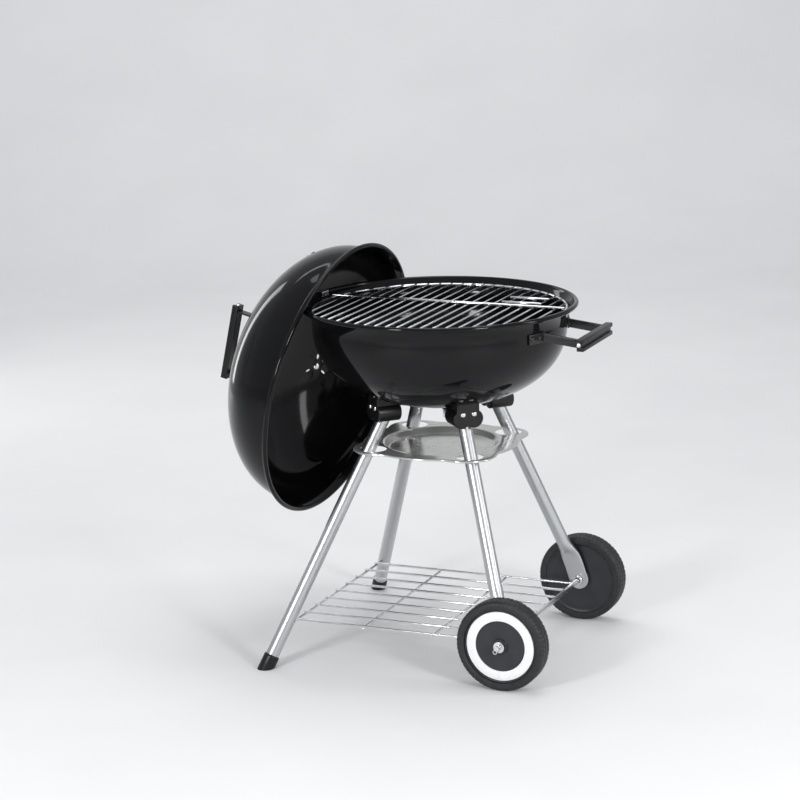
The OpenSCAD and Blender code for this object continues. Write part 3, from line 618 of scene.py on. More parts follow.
def cross_cutters(places, r, depth):
    """Cross-shaped driver recesses for screw heads whose tops are at the given places."""
    bm = bmesh.new()
    arm, half = r * 0.58, r * 0.15
    quarter = [(arm, -half), (arm, half), (half, half)]
    outline = [Matrix.Rotation(k * math.pi / 2, 2) @ Vector(point) for k in range(4) for point in quarter]
    for place in places:
        low, high = (
            [bm.verts.new(place @ Vector((corner.x, corner.y, z))) for corner in outline]
            for z in (-depth, depth)
        )
        bm.faces.new(reversed(low))
        bm.faces.new(high)
        for i in range(len(low)):
            bm.faces.new((low[i - 1], low[i], high[i], high[i - 1]))
    return bm


# ---- Grates ----


def build_grate(name, node, body, z, ring, wires, bars):
    """A ring at height z with parallel wires on it, and bars across them.

    ring is its radius and wire radius. wires is their wire radius, height over z, count and pitch. bars is
    their wire radius, height over z, and the ends in x and the place in y of each.
    """
    ring_r, ring_wire = ring
    wire, wire_z, count, pitch = wires
    bar_wire, bar_z, spans = bars
    bm = bmesh.new()
    sweep(bm, circle_path(ring_r, z), ring_wire, 16, closed=True)
    for i in range(count):
        x = (i - (count - 1) / 2) * pitch
        y = math.sqrt(ring_r**2 - x**2) + ring_wire * 0.35
        sweep(bm, [(x, -y, z + wire_z), (x, 0, z + wire_z), (x, y, z + wire_z)], wire)
    for left, right, y in spans:
        path = [(left, y, z + bar_z), ((left + right) / 2, y, z + bar_z), (right, y, z + bar_z)]
        sweep(bm, path, bar_wire)
    add_piece(name, bm, "chromed_wire", body, [node], sharp=50)


def build_grates():
    pitch, ring_r, long_y = 18.6 * MM, 206 * MM, 32 * MM
    half = math.sqrt(ring_r**2 - long_y**2)
    spans = [(-half, half, long_y)] + [(pitch * 4.7, pitch * 8.3, y) for y in (55 * MM, 95 * MM)]
    build_grate(
        "cooking_grate_wires", "cooking_grate", "grate", RIM_Z - 12 * MM,
        (ring_r, 2.5 * MM), (1.75 * MM, 1.2 * MM, 21, pitch), (2.25 * MM, 4.6 * MM, spans),
    )
    coal_r = 165 * MM
    build_grate(
        "charcoal_grate_wires", "charcoal_grate", "coal_grate", RIM_Z - 110 * MM,
        (coal_r, 3 * MM), (2.5 * MM, 1.6 * MM, 13, 24 * MM), (2.5 * MM, -2.8 * MM, [(-coal_r, coal_r, 0)]),
    )


# ---- Legs ----


def leg_point(low, z):
    """A leg's axis at height z, for the leg from its top to the point low."""
    k = (LEG_TOP.z - z) / (LEG_TOP.z - low.z)
    return LEG_TOP.lerp(low, k)


def quarter(sx, sy):
    return Matrix.Diagonal((sx, sy, 1, 1))


def socket_place(sx, sy):
    """The kettle's axis with X turned towards one leg's top."""
    return HOME @ quarter(sx, sy) @ Matrix.Rotation(SOCKET_TURN, 4, "Z")


def build_left_leg(name, node, sy):
    """A straight tube whose end sits in its cap."""
    bm = bmesh.new()
    top = leg_point(LEFT_FOOT, LEG_TOP.z + LEG_IN)
    low = leg_point(LEFT_FOOT, 4 * MM)
    steps = 12
    sweep(bm, [top.lerp(low, k / steps) for k in range(steps + 1)], LEG_R, 48)
    add_piece(name, bm, "leg_silver", "cart", [node], HOME @ quarter(-1, sy))


def build_right_leg(name, node, sy):
    """A tube whose lower end is pressed flat, bent upright and rounded off below the axle."""
    straight, press_l, bend_r, sides = 34 * MM, 42 * MM, 20 * MM, 56
    line_steps, steps = 10, 60
    round_r, round_end = FLAT_W / 2, 1.5 * MM
    top = leg_point(KNEE, LEG_TOP.z + LEG_IN)
    press_start = leg_point(KNEE, KNEE.z + straight)
    knee = Vector((KNEE.x, FLAT_Y, KNEE.z))
    axle = Vector((AXLE_X, FLAT_Y, AXLE_Z))
    end = axle + (axle - knee).normalized() * round_r
    line = [top.lerp(press_start, k / line_steps) for k in range(line_steps)]
    path = line + rounded([press_start, knee, end], bend_r, 14)
    lengths = [0.0]
    for a, b in zip(path, path[1:]):
        lengths.append(lengths[-1] + (b - a).length)
    total = lengths[-1]
    press_from = lengths[line_steps]
    stations = [press_from * k / line_steps for k in range(line_steps)]
    stations += [press_from + (total - press_from) * k / steps for k in range(steps)]
    stations += [total - left * MM for left in (2, 1, 0.4, 0.1)]
    rings = []
    for s in sorted(set(stations)):
        i = max(j for j in range(len(lengths) - 1) if lengths[j] <= s + 1e-9)
        step = lengths[i + 1] - lengths[i]
        p = path[i].lerp(path[i + 1], (s - lengths[i]) / step if step else 0)
        along = (path[i + 1] - path[i]).normalized()
        across = Vector((0, 1, 0))
        across = (across - along * across.dot(along)).normalized()
        wide = along.cross(across)
        pressed = min(1.0, max(0.0, (s - press_from) / press_l))
        pressed = pressed * pressed * (3 - 2 * pressed)
        thick = LEG_R + (FLAT_T / 2 - LEG_R) * pressed
        half = LEG_R + (round_r - LEG_R) * pressed
        left = total - s
        if left < round_r:
            half = math.sqrt(max(0.0, round_r**2 - (round_r - left) ** 2)) + 0.3 * MM
            if left < round_end:
                thick *= min(1.0, 0.55 + 0.45 * math.sqrt(left / round_end))
        power = 2 / (2 + 1.6 * pressed)
        ring = []
        for n in range(sides):
            a = 2 * math.pi * n / sides
            c, d = math.cos(a), math.sin(a)
            u = math.copysign(abs(c) ** power, c) * half
            v = math.copysign(abs(d) ** power, d) * thick
            ring.append(p + wide * u + across * v)
        rings.append(ring)
    bm = bmesh.new()
    rings = [[bm.verts.new(point) for point in ring] for ring in rings]
    for low, high in zip(rings, rings[1:]):
        join_rings(bm, low, high)
    bm.faces.new(rings[0][::-1])
    bm.faces.new(rings[-1])
    add_piece(name, bm, "leg_silver", "cart", [node], HOME @ quarter(1, sy), 50)


# ---- Ash plate ----


def plate_edge(angle):
    """Radius of the plate's outline: a circle with four ears that blend into it."""
    ear_out, ear_r, disc_r, sharpness = 106 * MM, 46 * MM, 128 * MM, 26
    offset = angle % (math.pi / 2) - math.pi / 4
    reach = ear_r**2 - (ear_out * math.sin(offset)) ** 2
    ear = ear_out * math.cos(offset) + math.sqrt(reach) if reach > 0 else 0.0
    blend = (disc_r**sharpness + max(ear, 1 * MM) ** sharpness) ** (1 / sharpness)
    return min(blend, ear_out + ear_r)


def build_ash_plate():
    """One pressed sheet: a shallow dish, a flat with four ears, and a turned-down edge."""
    t = 0.8 * MM
    dish_in, dish_out, depth = 84 * MM, 97 * MM, 9 * MM
    lip, turn_r, turn_h = 1.4 * MM, 1.2 * MM, 2.2 * MM
    segments = 240
    dish_steps, wall_steps, flat_steps, turn_steps = 8, 10, 6, 5

    def stations(lift, inset):
        """Rings from the dish to the edge, as a fixed radius, a share of the outline to add, and a height."""
        points = [(dish_in * k / dish_steps, 0, -depth + lift) for k in range(1, dish_steps + 1)]
        for k in range(1, wall_steps + 1):
            s = k / wall_steps
            points.append((dish_in + (dish_out - dish_in) * s, 0, -depth * (1 - s * s * (3 - 2 * s)) + lift))
        for k in range(1, flat_steps + 1):
            s = k / flat_steps
            points.append((dish_out + (inset - lip - dish_out) * s, s, lift))
        for k in range(1, turn_steps + 1):
            a = math.pi / 2 * k / turn_steps
            points.append((inset + turn_r * (math.sin(a) - 1), 1, lift - turn_h * (1 - math.cos(a))))
        return points

    angles = [2 * math.pi * n / segments for n in range(segments)]
    edges = [plate_edge(a) for a in angles]
    bm = bmesh.new()
    loops = []
    for lift, inset in ((t, 0.0), (0.0, -t)):
        rings = [[bm.verts.new((0, 0, -depth + lift))] * segments]
        for fixed, share, z in stations(lift, inset):
            radii = [fixed + share * edge for edge in edges]
            rings.append([bm.verts.new((r * math.cos(a), r * math.sin(a), z)) for r, a in zip(radii, angles)])
        for low, high in zip(rings, rings[1:]):
            join_rings(bm, low, high)
        loops.append(rings[-1])
    join_rings(bm, loops[0], loops[1])
    place = HOME @ Matrix.Translation((0, 0, PLATE_Z))
    plate = add_piece("ash_plate_sheet", bm, "plate_steel", "cart", ["ash_plate"], place, 60)
    hole_out, hole_r = 121.5 * MM, 22 * MM
    places = [
        socket_place(sx, sy) @ Matrix.Translation((hole_out, 0, PLATE_Z)) for sx in (-1, 1) for sy in (-1, 1)
    ]
    centres = [Matrix.Translation(p.translation) for p in places]
    cut(plate, hole_cutters(centres, hole_r, CUTTER_L, 64))


# ---- Shelf, axle and pins ----


def build_shelf():
    """Wires from the left legs to the axle, the outer two with eyes round it, on four cross wires."""
    wire, half, count = 2 * MM, 166 * MM, 9
    eye_r = AXLE_R + 0.2 * MM + wire
    eye_turn, eye_steps = math.radians(330), 36
    z = AXLE_Z - eye_r
    cross_z = z - 2 * wire + 0.3 * MM
    left = -leg_point(LEFT_FOOT, cross_z).x
    right = AXLE_X - 10 * MM
    turns = [eye_turn * k / eye_steps for k in range(eye_steps + 1)]
    bm = bmesh.new()
    for i in range(count):
        y = half * (2 * i / (count - 1) - 1)
        end = [(right + wire, y, z)]
        if i in (0, count - 1):
            end = [(AXLE_X + eye_r * math.sin(a), y, AXLE_Z - eye_r * math.cos(a)) for a in turns]
        sweep(bm, [(left - wire, y, z), (0, y, z)] + end, wire)
    reach = leg_point(LEFT_FOOT, cross_z).y - 1 * MM
    sweep(bm, [(left, -reach, cross_z), (left, 0, cross_z), (left, reach, cross_z)], wire)
    side = half + 0.5 * wire
    for k in (1 / 3, 2 / 3, 1):
        x = left + (right - left) * k
        sweep(bm, [(x, -side, cross_z), (x, 0, cross_z), (x, side, cross_z)], wire)
    add_piece("shelf_wires", bm, "chromed_wire", "cart", ["shelf"], sharp=50)


def build_axle_and_pins():
    """The axle, its washers, and a split pin through each of its ends."""
    softened("axle_rod", "zinc_fastener", "cart", "axle", 0.6 * MM)
    softened("axle_washer_set", "zinc_fastener", "cart", "axle_washers", 0.3 * MM)
    pin_y, eye, wire, leg_gap, leg_spread = 214.5 * MM, 3 * MM, 0.8 * MM, 0.5 * MM, 2.4 * MM
    neck, turn, steps = AXLE_R * 1.4, math.radians(215), 30
    turns = [math.radians(20 + 320 * k / steps) for k in range(steps + 1)]
    loop = [(eye * math.sin(a), 0, neck + eye - eye * math.cos(a)) for a in turns]
    bm = bmesh.new()
    for side in (-1, 1):
        start = len(bm.verts)
        for step in (-1, 1):
            gap = step * leg_gap
            foot = [(step * leg_spread, 0, -AXLE_R * 2), (gap, 0, -AXLE_R * 1.2), (gap, 0, neck)]
            sweep(bm, rounded(foot, 1.5 * MM), wire * 0.72, 10)
        sweep(bm, loop, wire, 12)
        bm.verts.ensure_lookup_table()
        place = Matrix.Translation((AXLE_X, side * pin_y, AXLE_Z)) @ Matrix.Rotation(turn, 4, "Y")
        bmesh.ops.transform(bm, matrix=place, verts=bm.verts[start:])
    add_piece("split_pins", bm, "zinc_fastener", "cart", ["cotter_pins"], sharp=60)


CAP_H = 24 * MM
CAP_WALL = 1.8 * MM


def build_foot_cap(name, node, sy):
    """A moulded cap round a left leg's end, flat where it stands."""
    bm = bmesh.new()
    low = leg_point(LEFT_FOOT, -CAP_H / 2)
    high = leg_point(LEFT_FOOT, CAP_H)
    sweep(bm, [low, high], LEG_R + CAP_WALL, 64)
    everything = bm.verts[:] + bm.edges[:] + bm.faces[:]
    cutting = bmesh.ops.bisect_plane(
        bm, geom=everything, plane_co=(0, 0, 0), plane_no=(0, 0, -1), clear_outer=True
    )
    rim = [e for e in cutting["geom_cut"] if isinstance(e, bmesh.types.BMEdge)]
    bmesh.ops.edgeloop_fill(bm, edges=rim)
    bmesh.ops.recalc_face_normals(bm, faces=bm.faces)
    soften_edges(bm, 1 * MM, 40)
    add_piece(name, bm, "black_plastic", "cart", [node], HOME @ quarter(-1, sy), 50)


# ---- Sockets and their bolts ----

SOCKET_FRONT = 121 * MM
SOCKET_BACK = 80 * MM
BOLT_OUT = 9.5 * MM
BOLT_Z = 412 * MM
LUG_IN = 88 * MM


def build_socket(name, node, sx, sy):
    """A moulded block with two round lobes, fitted to the underside of the bowl."""
    lobe_r, lobe_out, neck, top, steps = 15 * MM, 10.5 * MM, 19 * MM, 440 * MM, 22
    lobe_z = 389 * MM + lobe_r
    meet = math.degrees(math.acos(lobe_out / lobe_r)) - 180
    shoulder = 90 - math.degrees(math.asin(min(1.0, (neck - lobe_out) / lobe_r)))
    outline = [(neck, top)] + arc(lobe_out, lobe_z, lobe_r, shoulder, meet, steps)
    outline += [(-x, z) for x, z in arc(lobe_out, lobe_z, lobe_r, meet, shoulder, steps)][1:]
    outline += [(-neck, top)]
    bm = bmesh.new()
    face = bm.faces.new([bm.verts.new((SOCKET_BACK, y, z)) for y, z in outline])
    grown = bmesh.ops.extrude_face_region(bm, geom=[face])
    moved = [v for v in grown["geom"] if isinstance(v, bmesh.types.BMVert)]
    bmesh.ops.translate(bm, verts=moved, vec=(SOCKET_FRONT - SOCKET_BACK, 0, 0))
    bmesh.ops.recalc_face_normals(bm, faces=bm.faces)
    soften_edges(bm, 2.4 * MM, 60, 4)
    piece = add_piece(name, bm, "black_plastic", "cart", [node], socket_place(sx, sy), 40)
    tool = bmesh.new()
    spin(tool, bowl_wall(-0.05 * MM) + [(0, RIM_Z)], 128)
    bmesh.ops.recalc_face_normals(tool, faces=tool.faces)
    tool.transform(HOME)
    cut(piece, tool)


def bolt_places(out):
    return [
        socket_place(sx, sy)
        @ Matrix.Translation((out, side * BOLT_OUT, BOLT_Z))
        @ Matrix.Rotation(math.pi / 2, 4, "Y")
        for sx in (-1, 1)
        for sy in (-1, 1)
        for side in (-1, 1)
    ]


def build_socket_fasteners():
    bm = bmesh.new()
    shank_l = SOCKET_FRONT - LUG_IN + 4.6 * MM
    for place in bolt_places(SOCKET_FRONT):
        domed_head(bm, 4.4 * MM, 2.6 * MM, place, 2.5 * MM, shank_l)
    add_heads("socket_bolt_set", bm, "zinc_fastener", "cart", ["socket_bolts"])
    softened("socket_nut_set", "zinc_fastener", "cart", "socket_nuts", 0.4 * MM)
    softened("bowl_lug_set", "black_enamel", "cart", "leg_lugs", 0.5 * MM)


def add_heads(name, bm, slot, body, nodes):
    """Heads are built straight in the row frame."""
    return add_piece(name, bm, slot, body, nodes, ROW_FRAME, 40)


# ---- Handles and hook ----

GRIP_L = 144 * MM
GRIP_X = 259 * MM
GRIP_T = 11 * MM
GRIP_SCREW_Z = 532 * MM
ARM_T = 3 * MM
ARM_RIVET_OUT = BELLY_R + 2.85 * MM
ARM_RIVET_Z = 539 * MM
ARM_RIVET_TURNS = (19.2, 24)
LID_GRIP_L = 130 * MM
LID_GRIP_Z = LIP_H + DOME_H + 50 * MM
LID_ARM_X = LID_GRIP_L / 2 - 10 * MM
LID_ARM_W = 14 * MM
HEAD_R = 4 * MM
SCREW_HEAD_T = 2 * MM
SCREW_R = 2.2 * MM
SCREW_L = 18 * MM
RIVET_HEAD_T = 1.8 * MM
RIVET_R = 2 * MM


def add_grip_screws(name, places, body, node):
    """Two screws with cross recesses, one in each end of a grip."""
    screws = bmesh.new()
    for place in places:
        domed_head(screws, HEAD_R, SCREW_HEAD_T, place, SCREW_R, SCREW_L)
    piece = add_heads(name, screws, "zinc_fastener", body, [node])
    tops = [place @ Matrix.Translation((0, 0, SCREW_HEAD_T)) for place in places]
    cut(piece, cross_cutters(tops, 2.6 * MM, 1.1 * MM))


def build_bowl_handle():
    softened("bowl_grip", "black_plastic", "cart", "bowl_handle_grip", 0.9 * MM)
    for word in ("front", "back"):
        softened(f"bowl_arm_{word}", "black_paint", "cart", f"bowl_handle_{word}_arm", 0.5 * MM)
    rivets = bmesh.new()
    screw_places = []
    for side in (-1, 1):
        tilt = Matrix.Rotation(math.radians(-90 * side), 4, "X")
        grip_end = Matrix.Translation((GRIP_X + GRIP_T / 4, side * GRIP_L / 2, GRIP_SCREW_Z))
        screw_places.append(HOME @ grip_end @ tilt)
        for turn in ARM_RIVET_TURNS:
            place = (
                HOME
                @ Matrix.Rotation(math.radians(side * turn), 4, "Z")
                @ Matrix.Translation((ARM_RIVET_OUT, 0, ARM_RIVET_Z))
                @ Matrix.Rotation(math.pi / 2, 4, "Y")
            )
            domed_head(rivets, HEAD_R, RIVET_HEAD_T, place, RIVET_R, 4 * MM)
    add_grip_screws("bowl_grip_screws", screw_places, "cart", "bowl_handle_screws")
    add_heads("bowl_arm_rivets", rivets, "black_paint", "cart", ["bowl_handle_rivets"])


def lid_arm_path():
    """From the grip down to the dome, then out along it."""
    lift = 2.25 * MM
    base = LID_ARM_X - ARM_T / 2
    far = LID_ARM_X + 28 * MM
    return [
        Vector((LID_ARM_X, 0, LID_GRIP_Z)),
        Vector((LID_ARM_X, 0, LIP_H + dome_height(base) + lift)),
        Vector((far, 0, LIP_H + dome_height(far) + lift - 0.6 * MM)),
    ]


def build_lid_handle():
    softened("lid_grip", "black_plastic", "hung_lid", "lid_handle_grip", 0.9 * MM)
    rivets = bmesh.new()
    screw_places = []
    path = lid_arm_path()
    slope = math.atan2(path[1].z - path[2].z, path[2].x - path[1].x)
    rivet_tilt = Matrix.Rotation(slope, 4, "Y") @ Matrix.Translation((0, 0, ARM_T / 2))
    for word, side in (("upper", 1), ("lower", -1)):
        mirrored = HUNG @ Matrix.Diagonal((side, 1, 1, 1))
        bm = bmesh.new()
        strap(bm, rounded(path, 4 * MM, 8), ARM_T, LID_ARM_W)
        soften_edges(bm, 0.5 * MM, 50)
        add_piece(f"lid_arm_{word}", bm, "black_paint", "hung_lid", [f"lid_handle_{word}_arm"], mirrored, 40)
        for k in (0.35, 0.8):
            place = mirrored @ Matrix.Translation(path[1].lerp(path[2], k)) @ rivet_tilt
            domed_head(rivets, HEAD_R, RIVET_HEAD_T, place, RIVET_R, 5 * MM)
        tilt = Matrix.Rotation(side * math.pi / 2, 4, "Y")
        screw_places.append(HUNG @ Matrix.Translation((side * LID_GRIP_L / 2, 0, LID_GRIP_Z)) @ tilt)
    add_grip_screws("lid_grip_screws", screw_places, "hung_lid", "lid_handle_screws")
    add_heads("lid_arm_rivets", rivets, "black_paint", "hung_lid", ["lid_handle_rivets"])


HOOK_T = 2 * MM
HOOK_W = 22 * MM
HOOK_OUT = 5.5 * MM
HOOK_IN = 14 * MM
HOOK_RISE = 12 * MM
HOOK_TONGUE = 7 * MM
HOOK_RIM_GAP = 0.3 * MM
HOOK_FOOT_R = 188 * MM
HOOK_FOOT_HALF = 12 * MM
HOOK_FOOT_GAP = 1.1 * MM


def lid_local(x, z):
    """A point of the hung lid's middle plane, given from the kettle's axis, in the lid's own frame."""
    dx, dz = x + LID_OUT, z - LID_Z
    lean_s, lean_c = math.sin(LID_LEAN), math.cos(LID_LEAN)
    return Vector((dx * lean_s + dz * lean_c, 0, -dx * lean_c + dz * lean_s))


def hook_foot(k):
    """A point of the hook's foot, which lies along the inside of the dome, k half lengths from its middle."""
    h = dome_height(HOOK_FOOT_R, SHELL_T)
    normal = Vector((HOOK_FOOT_R / DOME_R**2, 0, h / DOME_H**2)).normalized()
    along = Vector((-normal.z, 0, normal.x))
    inside = Vector((HOOK_FOOT_R, 0, LIP_H + h)) - normal * (HOOK_T / 2 + HOOK_FOOT_GAP)
    return inside + along * k * HOOK_FOOT_HALF


def build_hook():
    outside, inside = -RIM_R - HOOK_OUT, -RIM_R + HOOK_IN
    over = RIM_Z + HOOK_RIM_GAP + HOOK_T / 2
    path = [
        hook_foot(-1), hook_foot(1), lid_local(outside, RIM_Z + HOOK_RISE), lid_local(outside, over),
        lid_local(inside, over), lid_local(inside, RIM_Z - HOOK_TONGUE),
    ]
    bm = bmesh.new()
    strap(bm, rounded(path, 2.2 * MM, 5), HOOK_T, HOOK_W)
    soften_edges(bm, 0.35 * MM, 50)
    add_piece("lid_hook_strap", bm, "zinc_fastener", "hung_lid", ["lid_hook"], HUNG, 40)
    rivets = bmesh.new()
    rise = hook_foot(1) - hook_foot(-1)
    outer = Matrix.Translation((0, 0, 3.6 * MM))
    inner = Matrix.Rotation(math.pi, 4, "X") @ Matrix.Translation((0, 0, HOOK_T / 2))
    for k in (-0.5, 0.5):
        turn = Matrix.Rotation(math.pi - math.atan2(rise.z, rise.x), 4, "Y")
        place = HUNG @ Matrix.Translation(hook_foot(k)) @ turn
        domed_head(rivets, HEAD_R, 1.6 * MM, place @ outer, RIVET_R, 4.6 * MM)
        domed_head(rivets, HEAD_R, 1.2 * MM, place @ inner)
    add_heads("lid_hook_rivet_set", rivets, "black_paint", "hung_lid", ["lid_hook_rivets"])


def build_damper_rivets_and_tabs():
    head_r, head_t, shank_r = 6 * MM, 1.6 * MM, 3 * MM
    crown, back_gap = 2.1 * MM, 0.15 * MM
    flip = Matrix.Rotation(math.pi, 4, "X")
    place = lid_damper_place()
    bm = bmesh.new()
    domed_head(bm, head_r, head_t, place @ Matrix.Translation((0, 0, crown)), shank_r, crown + SHELL_T)
    domed_head(bm, head_r, head_t, place @ Matrix.Translation((0, 0, -SHELL_T - back_gap)) @ flip)
    add_heads("lid_damper_pivot", bm, "zinc_fastener", "hung_lid", ["lid_damper_rivet"])
    bm = bmesh.new()
    below = HOME @ Matrix.Translation((0, 0, BOTTOM_Z - 1.6 * MM)) @ flip
    domed_head(bm, head_r, head_t, below, shank_r, 2.8 * MM)
    domed_head(bm, head_r, head_t, HOME @ Matrix.Translation((0, 0, BOTTOM_Z + SHELL_T)))
    add_heads("bowl_damper_pivot", bm, "zinc_fastener", "cart", ["bowl_damper_rivet"])
    softened("bowl_damper_plate", "damper_aluminium", "bowl_damper_disc", "bowl_damper", 0.25 * MM)
    for word in ("charcoal", "cooking"):
        softened(word + "_tab_set", "black_enamel", "cart", word + "_grate_tabs", 0.3 * MM)


# ---- Wheels, with local Z pointing away from the cart ----


def wheel_place(side):
    return (
        HOME
        @ Matrix.Translation((AXLE_X, side * WHEEL_IN, AXLE_Z))
        @ Matrix.Rotation(math.radians(90 if side < 0 else -90), 4, "X")
    )


TYRE_IN = 60 * MM
SHOULDER = 6 * MM
RIBS = 60
RIB_NOTCH = 0.9 * MM
GROOVE_IN = 12.5 * MM
DISC_FACE = 27 * MM
RING_IN = 41 * MM
RING_OUT = 56 * MM
RING_T = 2 * MM


def millimetres(points):
    return [(r * MM, z * MM) for r, z in points]


def tyre_profile():
    """Round shoulders, two grooves round the tread, and a step at the disc."""
    crown = WHEEL_R - SHOULDER
    profile = [(TYRE_IN, 1 * MM), (TYRE_IN + 1 * MM, 0), (crown, 0)]
    profile += arc(crown, SHOULDER, SHOULDER, -80, 0, 8)
    for groove in (GROOVE_IN, WHEEL_W - GROOVE_IN):
        for step, drop in ((-1.6, 0), (-1.1, 1.1), (1.1, 1.1), (1.6, 0)):
            profile.append((WHEEL_R - drop * MM, groove + step * MM))
    profile += arc(crown, WHEEL_W - SHOULDER, SHOULDER, 0, 80, 8) + [(crown, WHEEL_W)]
    lip = millimetres(((3.2, 0), (2.4, -0.8), (0.6, -0.9), (0, -1.8)))
    return profile + [(TYRE_IN + out, WHEEL_W + step) for out, step in lip]


def disc_profile():
    """A hub boss, a recess that holds the white ring, and a flat cover on the inner side."""
    rim = TYRE_IN - 0.02 * MM
    cover = millimetres(((7, 0), (13, 0), (14, 1), (14, 3.2), (15, 4), (56, 4), (58.5, 2.6)))
    bead = millimetres(((58.6, 2.6), (57.2, 2.2), (56.8, 0), (40.3, 0), (39.9, 1.2), (39.2, 1.7), (20, 1.3)))
    boss = millimetres(((13.2, 1.3), (12.6, 1.9), (12.2, 4.6), (11.4, 5.2), (7, 5.2)))
    front = [(rim, 1.6 * MM)] + bead + boss
    return cover + [(rim, 2.4 * MM)] + [(r, DISC_FACE + z) for r, z in front]


def ring_profile():
    low, high, soft = DISC_FACE, DISC_FACE + RING_T, 0.5 * MM
    inner = [(RING_IN, low), (RING_IN, high - soft), (RING_IN + soft * 0.3, high - soft * 0.3)]
    outer = [(RING_OUT - soft * 0.3, high - soft * 0.3), (RING_OUT, high - soft), (RING_OUT, low)]
    return inner + [(RING_IN + soft, high), (RING_OUT - soft, high)] + outer


def build_wheel(word, side):
    place = wheel_place(side)
    body = word + "_wheel"
    profile = tyre_profile()

    def ribbed(angle, index):
        """Short notches across the shoulders and between the grooves."""
        radius, z = profile[index]
        if radius < WHEEL_R - SHOULDER * 0.75 or 11 * MM < z < WHEEL_W - 11 * MM:
            return 0
        return -RIB_NOTCH if (angle * RIBS / (2 * math.pi)) % 1 > 0.7 else 0

    for what, outline, sides, shape, slot, sharp in (
        ("tyre", profile, RIBS * 6, ribbed, "wheel_rubber", 28),
        ("disc", disc_profile(), 160, None, "wheel_black", 28),
        ("ring", ring_profile(), 160, None, "wheel_white", 40),
    ):
        bm = bmesh.new()
        closed_spin(bm, outline, sides, shape)
        add_piece(f"{word}_{what}", bm, slot, body, [f"{word}_wheel_{what}"], place, sharp)
    softened(word + "_bush", "bush_nylon", body, word + "_wheel_bush", 0.3 * MM)


# ---- Studio ----


def build_sweep():
    """One pale sheet that lies on the ground and curves up behind the object."""
    away = Vector((-0.393, 0.919, 0))
    across = Vector((0.919, 0.393, 0))
    start, rise, bend, reach = 3.2, 4.0, 1.6, 14.0
    turns = [math.radians(5 * i) for i in range(19)]
    section = [(-reach, 0.0)] + [(start + bend * math.sin(a), bend - bend * math.cos(a)) for a in turns]
    section.append((start + bend, rise))
    bm = bmesh.new()
    rows = [
        [bm.verts.new(away * d + across * w + Vector((0, 0, h))) for w in (-reach, reach)] for d, h in section
    ]
    for near, far in zip(rows, rows[1:]):
        bm.faces.new((near[0], near[1], far[1], far[0])).smooth = True
    mesh = bpy.data.meshes.new("sweep")
    bm.to_mesh(mesh)
    bm.free()
    sweep_sheet = bpy.data.objects.new("sweep", mesh)
    bpy.context.scene.collection.objects.link(sweep_sheet)
    pale = Finish("pale_sweep")
    pale.colour((0.75, 0.75, 0.75), (0.78, 0.78, 0.78), 3)
    pale.roughness(0.7, 0.8, 8)
    mesh.materials.append(pale.material)


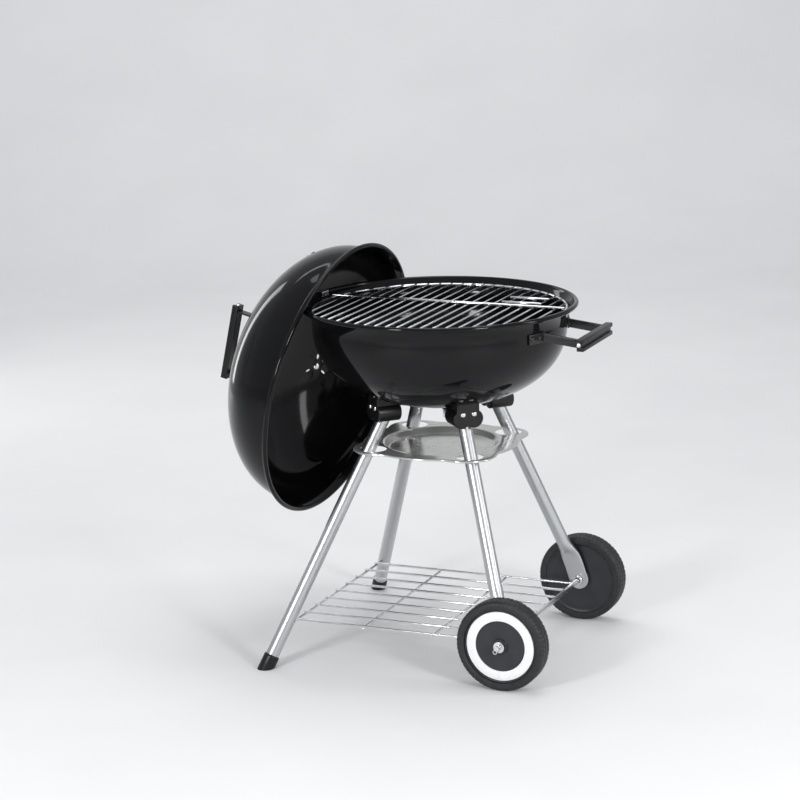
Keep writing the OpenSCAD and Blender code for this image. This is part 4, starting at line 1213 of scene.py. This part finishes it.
def build_studio():
    build_sweep()
    world = bpy.data.worlds.new("studio")
    world.use_nodes = True
    background = world.node_tree.nodes["Background"]
    background.inputs["Color"].default_value = (0.93, 0.95, 1.0, 1)
    background.inputs["Strength"].default_value = 0.52
    bpy.context.scene.world = world

    middle = Vector((0, 0, 0.33))
    backdrop = Vector((-1.7, 3.9, 1.0))
    lamps = (
        ("left_strip", (-2.2, 1.1, 1.0), 0.3, 1.8, 7, middle),
        ("right_strip", (2.4, 0.4, 1.1), 0.3, 1.8, 10, middle),
        ("front_left_softbox", (-0.45, -2.3, 1.05), 0.4, 0.5, 22, middle),
        ("front_right_softbox", (2.0, -1.35, 1.05), 0.4, 0.5, 22, middle),
        ("top_softbox", (0.2, 0.2, 2.6), 1.6, 1.3, 20, middle),
        ("backdrop_softbox", (-0.8, 1.6, 3.3), 3.0, 1.0, 42, backdrop),
    )
    for name, place, width, height, power, target in lamps:  # metres and watts
        light = bpy.data.lights.new(name, "AREA")
        light.shape = "RECTANGLE"
        light.size = width
        light.size_y = height
        light.energy = power
        lamp = bpy.data.objects.new(name, light)
        lamp.location = place
        lamp.rotation_euler = (target - lamp.location).to_track_quat("-Z", "Y").to_euler()
        bpy.context.scene.collection.objects.link(lamp)


SENSOR_W = 36
LENS = 116.4
CAMERA_OUT = Vector((1.552, -3.799, 1.368))
CAMERA_FORWARD = Vector((-0.3829, 0.8955, -0.2270))
CAMERA_RIGHT = Vector((0.9212, 0.3886, -0.0208))


def build_camera():
    """The printed picture's own view: from the front right, a little above the rim."""
    data = bpy.data.cameras.new("camera")
    data.sensor_width = SENSOR_W
    data.lens = LENS
    camera = bpy.data.objects.new("camera", data)
    forward = CAMERA_FORWARD.normalized()
    right = (CAMERA_RIGHT - forward * CAMERA_RIGHT.dot(forward)).normalized()
    up = right.cross(forward)
    turn = Matrix((right, up, -forward)).transposed().to_4x4()
    camera.matrix_world = Matrix.Translation(CAMERA_OUT + Vector((KETTLE_X, 0, 0))) @ turn
    bpy.context.scene.collection.objects.link(camera)
    bpy.context.scene.camera = camera


def build_all():
    dress_cad_nodes()
    build_bowl()
    build_lid()
    build_lid_damper()
    build_grates()
    build_left_leg("leg_tube_front_left", "leg_front_left", -1)
    build_left_leg("leg_tube_back_left", "leg_back_left", 1)
    build_right_leg("leg_tube_front_right", "leg_front_right", -1)
    build_right_leg("leg_tube_back_right", "leg_back_right", 1)
    build_ash_plate()
    build_shelf()
    build_axle_and_pins()
    build_wheel("front", -1)
    build_wheel("back", 1)
    for sy, front_back in ((-1, "front"), (1, "back")):
        build_foot_cap(f"foot_end_{front_back}", f"foot_cap_{front_back}", sy)
        for sx, left_right in ((-1, "left"), (1, "right")):
            word = f"{front_back}_{left_right}"
            build_socket(f"socket_block_{word}", f"leg_socket_{word}", sx, sy)
    build_socket_fasteners()
    build_bowl_handle()
    build_lid_handle()
    build_hook()
    build_damper_rivets_and_tabs()


bpy.context.scene.view_settings.view_transform = "Standard"
build_studio()
build_camera()
build_all()
